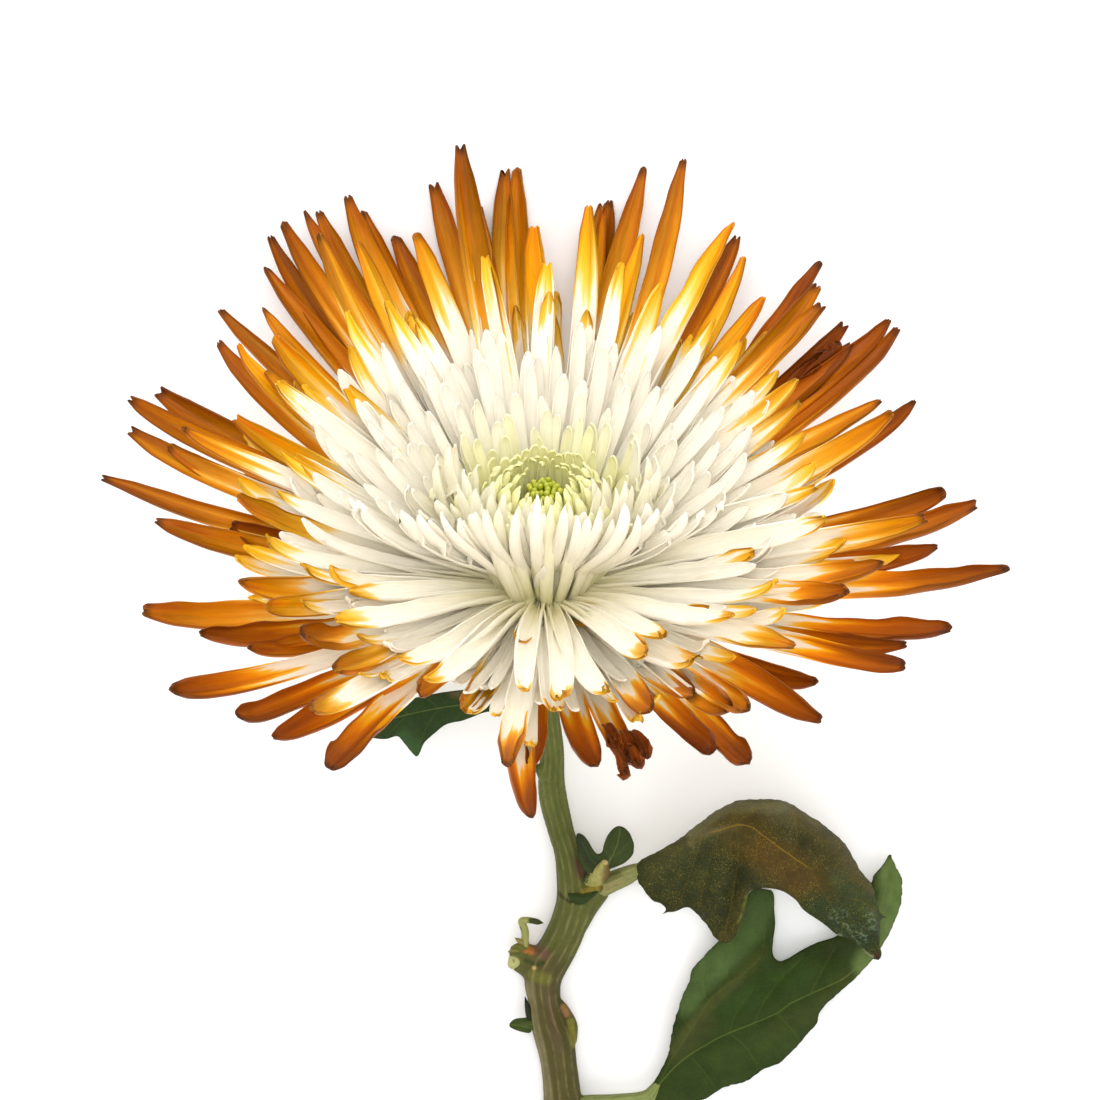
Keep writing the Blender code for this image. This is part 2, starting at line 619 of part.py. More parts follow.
def inside(outline, across, down):
    """Whether a pixel lies within an outline."""
    odd = False
    for (x0, y0), (x1, y1) in zip(outline, outline[1:] + outline[:1]):
        if (y0 > down) != (y1 > down) and across < (x1 - x0) * (down - y0) / (y1 - y0) + x0:
            odd = not odd
    return odd


def far_from(points, across, down, least):
    return all((x - across) ** 2 + (y - down) ** 2 > least**2 for x, y in points)


def build_leaf(name, leaf, collection):
    outline = leaf["outline"]
    spots = list(outline)
    rib = [(x, y) for x, y, _ in leaf["midrib"] if inside(outline, x, y)]
    spots += [spot for spot in rib if far_from(outline, *spot, 3)]
    columns = range(min(x for x, _ in outline), max(x for x, _ in outline), LEAF_GRID_PX)
    rows = range(min(y for _, y in outline), max(y for _, y in outline), LEAF_GRID_PX)
    for x in columns:
        for y in rows:
            if inside(outline, x, y) and far_from(spots, x, y, LEAF_GRID_PX * 0.5):
                spots.append((x, y))
    count = len(outline)
    border = [(index, (index + 1) % count) for index in range(count)]
    flat = [Vector(spot) for spot in spots]
    points, _, faces, _, _, _ = delaunay_2d_cdt(flat, border, [list(range(count))], 1, 0.01)
    mesh = bpy.data.meshes.new(name)
    verts = [at(x, y, blade_height(leaf, x, y)) for x, y in points]
    mesh.from_pydata(verts, [], faces)
    blade = add_object(name, mesh, collection)
    thick = blade.modifiers.new("Thickness", "SOLIDIFY")
    thick.thickness = LEAF_THICKNESS
    thick.offset = 0
    blade = settle(blade, collection)
    return fuse(blade, [tube(name + "_stalk", pixel_path(leaf["stalk"]), collection, 3, 2)])


def build():
    for item in list(bpy.data.objects):
        bpy.data.objects.remove(item)
    collection = bpy.data.collections.new("spider_chrysanthemum")
    bpy.context.scene.collection.children.link(collection)
    build_ray_florets(collection)
    build_disc_florets(collection)
    build_involucre(collection)
    build_stem(collection)
    for name, leaf in LEAVES.items():
        build_leaf(name, leaf, collection)
    for item in collection.objects:
        paint = bpy.data.materials.new(item.name)
        paint.use_nodes = True
        shader = paint.node_tree.nodes["Principled BSDF"]
        shader.inputs["Base Color"].default_value = COLOURS[item.name]
        shader.inputs["Roughness"].default_value = 0.6
        item.data.materials.clear()
        item.data.materials.append(paint)


build()
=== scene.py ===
"""Spider chrysanthemum: the finished surfaces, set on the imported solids.

The flower lies on its side on z = 0, its face turned up and towards +Y, and the camera looks straight
down on it. Lengths are metres, but the tables of the stem, twigs, blades and stalks give theirs in
millimetres. Places read from the photograph are pixels of its 1100 x 1100 frame, and the colours in
tables go from 0 to 255.
"""

from math import atan2, cos, pi, radians, sin, sqrt
from random import Random

import bpy
import numpy as np
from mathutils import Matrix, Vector
from mathutils.geometry import delaunay_2d_cdt


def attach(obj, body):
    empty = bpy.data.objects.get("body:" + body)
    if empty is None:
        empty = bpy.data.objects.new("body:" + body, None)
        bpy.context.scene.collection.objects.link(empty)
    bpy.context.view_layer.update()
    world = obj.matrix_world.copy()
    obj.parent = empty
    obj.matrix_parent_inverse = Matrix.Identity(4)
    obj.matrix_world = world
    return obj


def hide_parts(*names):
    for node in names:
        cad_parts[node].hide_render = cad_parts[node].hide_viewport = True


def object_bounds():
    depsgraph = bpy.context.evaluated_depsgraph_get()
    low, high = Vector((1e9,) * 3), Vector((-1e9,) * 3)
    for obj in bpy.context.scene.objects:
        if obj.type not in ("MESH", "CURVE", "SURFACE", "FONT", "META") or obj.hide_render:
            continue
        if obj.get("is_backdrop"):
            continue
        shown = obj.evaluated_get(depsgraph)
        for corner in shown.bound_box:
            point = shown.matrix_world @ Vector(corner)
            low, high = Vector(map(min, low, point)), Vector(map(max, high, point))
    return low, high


MM = 0.001
FLOOR_GAP = 0.02 * MM  # what every piece keeps from the floor
POINT_RADIUS = 0.01 * MM  # where a closed skin ends in a point

# The view that the pixels belong to
PIXEL = 0.160 * MM  # one pixel's size on the surface
VIEW_HEIGHT = 1.0
VIEW_CENTRE_PX = (550, 550)
ORIGIN_PX = (554, 655)
FRAME_PX = 1100
SENSOR = 36.0
LAMPS = (  # name, place, size and power
    ("front", (0.0, 0.06, 1.3), 0.45, 3.6),
    ("key", (-0.2, 0.8, 0.65), 0.6, 1.0),
    ("fill", (0.2, -0.6, 0.7), 0.6, 1.8),
)
SKY_STRENGTH = 1.2

# The head
HEAD_PX = (544, 606)
HEAD_HEIGHT = 27 * MM
TILT = radians(40)  # of the head's axis above the surface
CORE_RADIUS = 10 * MM
CORE_RISE = 16 * MM
CORE_BASE = -2 * MM
ROOT_DEPTH = 0.62  # of a floret's root, as a share of the way from the head's centre to the core's skin
GAP = 0.3 * MM

# Ray florets, drawn by the same rules as the solids'
SEED = 11
GOLDEN_ANGLE = radians(137.508)
ROOT_HANDLE = 0.36
TIP_HANDLE = 0.26
SURFACE_SOFTNESS = 1.6 * MM
RIM_RISE = (radians(6), radians(14))
RIM_HOOK = (radians(14), radians(40))
RIM_TWIST = radians(28)
RIM_WIDTHS = (0.82, 1.12)
INNER_COUNT = 165
INNER_POLAR = (radians(13), radians(62))
INNER_REACH = (23 * MM, 55 * MM)
INNER_WIDTH = (1.7 * MM, 3.0 * MM)
INNER_RISE = (radians(-26), radians(4))
INNER_HOOK = (radians(24), radians(44))
INNER_TWIST = radians(30)
POLAR_POWER = 0.62
REACH_POWER = 0.8
WIDTH_POWER = 0.7
REACH_SPREAD = (0.93, 1.05)
ANGLE_JITTER = 0.06
ROOT_POLARS = (radians(27), radians(57))
# Rise at the head's sides, what it gains upwards, reach, angle of the roots from the axis, and width
LAYERS = (
    (radians(19), radians(7), 76 * MM, radians(86), 3.9 * MM),
    (radians(27), radians(7), 69 * MM, radians(74), 3.7 * MM),
    (radians(34), radians(3), 58 * MM, radians(62), 3.3 * MM),
)

# Tips of the long florets, clockwise from twelve o'clock: pixel across, pixel down, layer
RIM_TIPS_PX = (
    (547, 262, 2), (588, 203, 1), (601, 201, 0), (609, 199, 0), (620, 262, 2), (644, 168, 0), (642, 233, 1),
    (682, 157, 0), (660, 283, 2), (730, 220, 1), (738, 235, 0), (746, 256, 1), (714, 318, 2), (765, 296, 1),
    (819, 259, 0), (819, 284, 1), (822, 303, 1), (741, 340, 2), (846, 323, 0), (852, 343, 0), (798, 378, 2),
    (894, 322, 0), (902, 329, 0), (801, 401, 2), (881, 399, 1), (894, 411, 1), (919, 402, 0), (816, 487, 2),
    (947, 492, 0), (977, 503, 0), (927, 517, 1), (830, 515, 2), (741, 506, 2), (939, 546, 0), (883, 562, 1),
    (1005, 565, 0), (751, 551, 2), (846, 590, 1), (733, 614, 2), (706, 607, 2), (950, 626, 0),
    (907, 644, 0), (664, 633, 2), (790, 642, 1), (910, 666, 0), (698, 660, 2), (821, 682, 0), (820, 719, 0),
    (645, 650, 2), (695, 693, 1), (728, 706, 1), (747, 708, 1), (749, 763, 0), (719, 751, 0), (591, 620, 2),
    (648, 706, 1), (634, 767, 0), (607, 689, 2), (596, 763, 0), (559, 697, 2), (555, 709, 2), (533, 760, 0),
    (530, 818, 0), (523, 695, 2), (507, 756, 1), (461, 708, 1), (516, 640, 2), (432, 677, 2), (413, 692, 1),
    (399, 658, 2), (330, 764, 0), (310, 708, 1), (271, 738, 0), (233, 720, 0), (338, 666, 1), (171, 689, 0),
    (246, 649, 0), (298, 634, 1), (342, 617, 2), (198, 634, 0), (145, 609, 0), (263, 604, 1), (241, 582, 1),
    (356, 589, 2), (324, 570, 2), (231, 525, 0), (157, 520, 0), (235, 498, 1), (104, 474, 0), (168, 445, 0),
    (128, 429, 0), (278, 452, 2), (294, 455, 2), (179, 428, 1), (128, 397, 0), (157, 391, 0), (236, 418, 1),
    (346, 386, 2), (265, 370, 1), (275, 381, 2), (284, 380, 2), (216, 341, 0), (233, 345, 1), (218, 309, 0),
    (273, 337, 1), (345, 311, 2), (262, 307, 1), (264, 267, 0), (268, 235, 0), (282, 221, 0), (304, 211, 0),
    (318, 209, 0), (320, 232, 1), (359, 241, 1), (346, 195, 0), (361, 209, 0), (394, 235, 0), (416, 317, 2),
    (418, 232, 1), (435, 184, 0), (385, 300, 2), (459, 144, 0), (473, 224, 1), (479, 206, 0), (485, 255, 2),
    (504, 168, 0), (517, 168, 0), (533, 224, 1),
)
RIM_BENDS = {(530, 818): 0.06, (820, 719): -0.05, (749, 763): -0.04, (330, 764): 0.03}  # sideways, by tip
WITHERED_TIPS_PX = (
    (618, 752), (626, 772), (640, 764), (633, 748), (613, 743), (646, 752), (826, 352), (838, 343),
    (816, 360),
)

# How far each part of a floret's end falls short across the width, in seven places from edge to edge
TIP_SHAPES = (
    (0.026, 0.008, 0.0, 0.0, 0.0, 0.008, 0.026),
    (0.010, 0.002, 0.008, 0.016, 0.010, 0.0, 0.008),
    (0.012, 0.012, 0.002, 0.014, 0.002, 0.012, 0.012),
    (0.030, 0.016, 0.006, 0.0, 0.004, 0.010, 0.020),
)
# Outlines of a floret: its width at each of the knots along it, the last one at its tip
WIDTH_KNOTS = (0.0, 0.15, 0.45, 0.70, 0.82, 0.91, 0.96, 1.0)
WIDTH_SHARES = {
    "spoon": (0.36, 0.54, 0.80, 0.94, 1.0, 0.96, 0.84, 0.46),
    "pinched": (0.36, 0.60, 0.96, 1.0, 0.94, 0.80, 0.58, 0.42),
    "tapered": (0.36, 0.60, 0.96, 0.98, 0.86, 0.68, 0.52, 0.22),
    "blunt": (0.40, 0.60, 0.90, 1.0, 0.98, 0.90, 0.76, 0.40),
    "tube": (0.40, 0.66, 1.0, 0.98, 0.92, 0.86, 0.74, 0.52),
    "pointed": (0.40, 0.66, 1.0, 0.94, 0.76, 0.54, 0.36, 0.12),
    "nib": (0.40, 0.66, 1.0, 0.98, 0.86, 0.66, 0.44, 0.30),
    "wedge": (0.80, 0.96, 1.0, 0.72, 0.52, 0.34, 0.24, 0.10),
}
FAR_OUTLINES = ("nib", "pinched", "nib", "tapered")  # of the long florets
NEAR_OUTLINES = ("spoon", "pinched", "tube", "tapered", "nib")
SHORT_OUTLINES = ("blunt", "spoon", "blunt", "tapered")
SHEET_HALF = 0.2 * MM  # half of a floret's thickness
RIDGE = 0.085  # height of the ridges along a floret, as a share of half its width
RIM_GRID = (36, 11)  # cross sections along a floret, and points across each
INNER_GRID = (22, 7)
BRACT_GRID = (14, 7)
DYE_LENGTHS = ((25 * MM, 36 * MM), (13 * MM, 23 * MM), (5 * MM, 10 * MM))  # of the coloured end, by layer
NEAR_DYE_CUT = 0.2  # what the near side's florets lack of it
UPPER_RIGHT_DYE = 0.3  # how much more of it those at the upper right have
NEAR_BREADTH = 0.10  # how much broader the near side's florets are
DEEP_SHARES = ((0.6, 1.0), (0.0, 0.65), (0.0, 0.15))  # how dark that colour grows, by layer
FAR_PALENESS = 0.35  # what the farthest florets lack of that
NEAR_DEPTH = 0.18  # what those of the near side and the right have more of it
DYE_ENDS = (1.0, 0.86, 0.52)  # how far along its range the colour comes at the tip, by layer
RIM_OPEN = 0.62  # how far the sides' florets turn their faces up
SHORT_OPEN = 0.5
RIM_LOOK_HOOK = 0.45  # of the solids' hook, which their few sections need to show one
GOLDEN_REACH = 49 * MM  # past which a short floret's end is coloured
# What a floret is where its own facts say nothing else; its number sets its waves and streaks
PLAIN_FLORET = {
    "bend": 0.0, "hood": 0.0, "open": 0.0, "tip_shape": 0, "dye_start": 0.0, "dye_length": 1.0, "deep": 0.0,
    "young": 0.0,
}

# Short florets between those that the solids carry, and upright ones before the eye
FILL_COUNT = 250
FILL_POLAR = (radians(11), radians(73))
FILL_REACH = (24 * MM, 57 * MM)
FILL_WIDTH = (1.5 * MM, 3.2 * MM)
FAN_COUNT = 50
FAN_SPREAD = 190  # degrees about the axis
FAN_POLAR = (radians(13), radians(31))
FAN_REACH = (24 * MM, 36 * MM)
FAN_RISES = (9.5 * MM, 16.6 * MM)  # of their tips above the parting, as the camera sees them
VIEW_POLAR = radians(50)  # the angle from the axis at which a floret points at the camera
PARTINGS = (radians(27), radians(23))  # how far the near side's florets lean clear of that, up and down
WEDGE_LEAN = radians(15)  # of the one short floret in the parting, from the line to the camera
WEDGE_REACH = 24 * MM
CROWN_COUNT = 64  # small curled florets round the eye
CROWN_POLAR = (radians(8), radians(16))
CROWN_REACH = (25.4 * MM, 27.4 * MM)
CROWN_WIDTH = (0.95 * MM, 1.6 * MM)

# The eye
EYE_RADIUS = 2.7 * MM
EYE_TOP = 25.2 * MM
EYE_DOME = 1.1 * MM
EYE_BUDS = 27
BUD_GRID = (13, 15)  # rings along a bud, and sides
BUD_NECK = 0.72  # where its tip starts to round off

# The involucre: for each row of bracts its place up the cup, their count and their length
CUP_RADIUS = 9.4 * MM
CUP_DEPTH = 8.5 * MM
CUP_LIP = 1.0 * MM
LOOK_BRACTS = ((0.22, 12, 3.4 * MM), (0.45, 16, 3.7 * MM), (0.70, 20, 3.8 * MM), (0.88, 22, 3.4 * MM))

# The stem's neck: how far down the head's axis, and its radius
NECK_SINK = 1.5 * MM
NECK = ((0, 2.5), (3, 2.2))
# The stem below it and its side growths: pixel across, pixel down, height and radius
STEM_PATH = (
    (547, 710, 13.3, 1.9), (552, 752, 9.3, 1.9), (552, 789, 6.8, 2.2), (560, 827, 5.0, 2.1),
    (568, 853, 4.3, 2.15), (573, 880, 3.8, 2.5), (574, 902, 3.4, 2.8), (568, 926, 3.1, 2.9),
    (559, 946, 3.0, 2.9), (547, 966, 3.1, 3.1), (543, 982, 3.0, 2.9), (545, 1003, 2.7, 2.5),
    (549, 1022, 2.9, 2.8), (555, 1040, 3.2, 3.1), (559, 1064, 2.9, 2.85), (562, 1090, 2.9, 2.9),
    (564, 1112, 3.2, 3.2), (566, 1135, 2.8, 2.8), (566, 1163, 2.8, 2.8),
)
STEM_GROWTHS = (
    ((574, 903, 3.3, 2.7), (584, 897, 4.0, 2.4), (598, 887, 4.6, 1.8)),
    ((572, 924, 3.1, 2.5), (584, 907, 3.6, 2.3), (600, 893, 4.4, 1.5)),
    ((548, 968, 3.2, 2.4), (532, 957, 3.9, 2.0), (518, 953, 4.2, 1.6)),
    ((545, 980, 3.0, 2.4), (530, 968, 3.4, 1.9), (518, 962, 3.8, 1.5)),
    ((564, 1112, 3.1, 2.6), (584, 1107, 3.6, 1.9)), ((547, 702, 14.0, 1.5), (531, 704, 14.1, 1.1)),
    ((576, 901, 4.6, 1.4), (584, 898, 6.0, 0.9)), ((546, 775, 8.6, 1.4), (538, 768, 9.4, 0.8)),
    ((558, 1006, 3.2, 1.2), (563, 1011, 3.3, 1.1)),
    ((564, 1014, 3.1, 1.2), (569, 1026, 3.2, 1.4), (571, 1040, 3.1, 1.1)),
)
STEM_RIDGES = 13
STEM_RIDGE_HEIGHT = 0.16 * MM
STEM_SWELL = 0.10 * MM  # of its uneven bulges
STEM_GROUND = (84, 86, 38)
# Stain marks and painted light and shade: a line of pixels, how far the colour spreads from it in pixels,
# the colour and its strength
STEM_STAINS_AND_PAINTED_LIGHT = (
    (((549, 690), (552, 790)), 34, (92, 98, 44), 0.8),
    (((552, 760), (560, 830), (566, 880)), 7, (72, 80, 26), 0.6),
    (((547, 976), (552, 1040), (566, 1160)), 40, (76, 67, 32), 0.9),
    # Painted light: the stem's left side made lighter, as lit from the left
    (((530, 985), (533, 1020), (541, 1052), (549, 1100)), 7, (122, 112, 76), 0.7),
    (((548, 990), (552, 1020), (560, 1052)), 6, (84, 68, 48), 0.6),
    # Painted shade: the stem's right side made darker, away from the light
    (((558, 985), (564, 1030), (576, 1060)), 8, (64, 58, 22), 0.7),
    (((534, 763), (535, 776)), 6, (44, 70, 26), 0.95), (((580, 862), (582, 874)), 9, (84, 54, 44), 0.8),
    (((556, 889), (562, 897), (570, 902), (578, 903)), 2.2, (34, 36, 8), 0.95),
    (((584, 892), (596, 888), (604, 884)), 5, (150, 128, 36), 0.6),
    (((604, 872), (610, 880), (602, 888)), 4, (84, 52, 18), 0.7),
    (((526, 949), (532, 951)), 6, (176, 104, 40), 0.9), (((538, 950), (545, 955)), 8, (104, 72, 58), 0.85),
    (((526, 960), (536, 965), (543, 963)), 3.2, (46, 56, 8), 0.9), (((534, 968),), 3, (196, 166, 104), 0.9),
    (((533, 975), (546, 979)), 9, (126, 126, 46), 0.4),
    (((556, 974), (566, 964), (570, 958)), 3, (70, 66, 30), 0.7),
    (((514, 961),), 6.5, (178, 176, 116), 0.85), (((514, 961),), 2.6, (104, 104, 48), 0.9),
    (((564, 1007), (567, 1014)), 5, (160, 110, 70), 0.7),
    (((571, 1022), (574, 1044)), 6, (122, 114, 40), 0.8),
    (((577, 1024), (579, 1044)), 3.5, (70, 76, 14), 0.85),
)

# Small twigs: name, rows as the stem's, ground colour, and stain marks with some painted shade
TWIGS = (
    ("stem_tendril", (
         (524, 951, 4.6, 0.75), (525, 940, 5.4, 0.6), (525, 932, 6.0, 0.62), (523, 925, 6.6, 0.62),
         (522, 921, 7.0, 0.58), (527, 920, 7.3, 0.5), (534, 921, 7.2, 0.48), (538, 922, 7.0, 0.45),
         (543, 923, 6.8, 0.08),
     ), (146, 146, 84), (
         (((532, 921), (544, 923)), 6, (38, 42, 14), 0.95), (((519, 930),), 5, (70, 84, 28), 0.7),
     )),
    ("stem_scale_a", ((522, 952, 4.8, 0.7), (515, 950, 5.3, 0.5), (508, 952, 5.4, 0.06)),
     (112, 106, 48), ()),
    ("stem_scale_b", ((524, 948, 5.0, 0.7), (518, 946, 5.6, 0.5), (511, 947, 5.9, 0.06)),
     (96, 94, 40), ()),
    ("stem_scale_c", ((526, 944, 5.0, 0.6), (520, 941, 5.7, 0.45), (515, 938, 6.0, 0.08)),
     (128, 118, 60), ()),
    ("stem_scale_d", (
         (569, 894, 5.7, 0.35), (575, 898, 6.2, 0.8), (582, 899, 6.3, 0.9), (589, 896, 6.3, 0.6),
         (597, 892, 6.2, 0.2),
     ), (36, 52, 12), ((((580, 893), (590, 892)), 3, (84, 92, 40), 0.6),)),
    ("stem_knob", ((518, 957, 4.2, 1.0), (515, 961, 4.5, 1.15), (513, 964, 4.2, 0.9)),
     (176, 174, 114), ((((514, 961),), 3, (106, 106, 50), 0.9),)),
    ("axil_bud", ((590, 884, 4.6, 1.3), (597, 877, 5.8, 1.5), (602, 870, 7.0, 1.35), (605, 862, 8.0, 0.6)),
     (154, 148, 84), (
         # The first mark is painted shade: darker brown down the bud's right side
         (((608, 868), (606, 880)), 7, (96, 66, 34), 0.8), (((606, 862),), 4, (190, 160, 104), 0.8),
     )),
    ("stem_sliver", (
         (531, 1024, 3.0, 0.5), (529, 1014, 3.4, 0.55), (527, 1005, 3.6, 0.4), (525, 997, 3.5, 0.06),
     ), (26, 32, 14), ()),
)

BLADE_HALF = 0.22 * MM
CREASE = 0.5 * MM  # how softly a blade bends at its midrib
ALL_RIBBED = (0.0, 1.0, 900.0, 901.0)  # where the pale midrib fades in and out, in rows along it
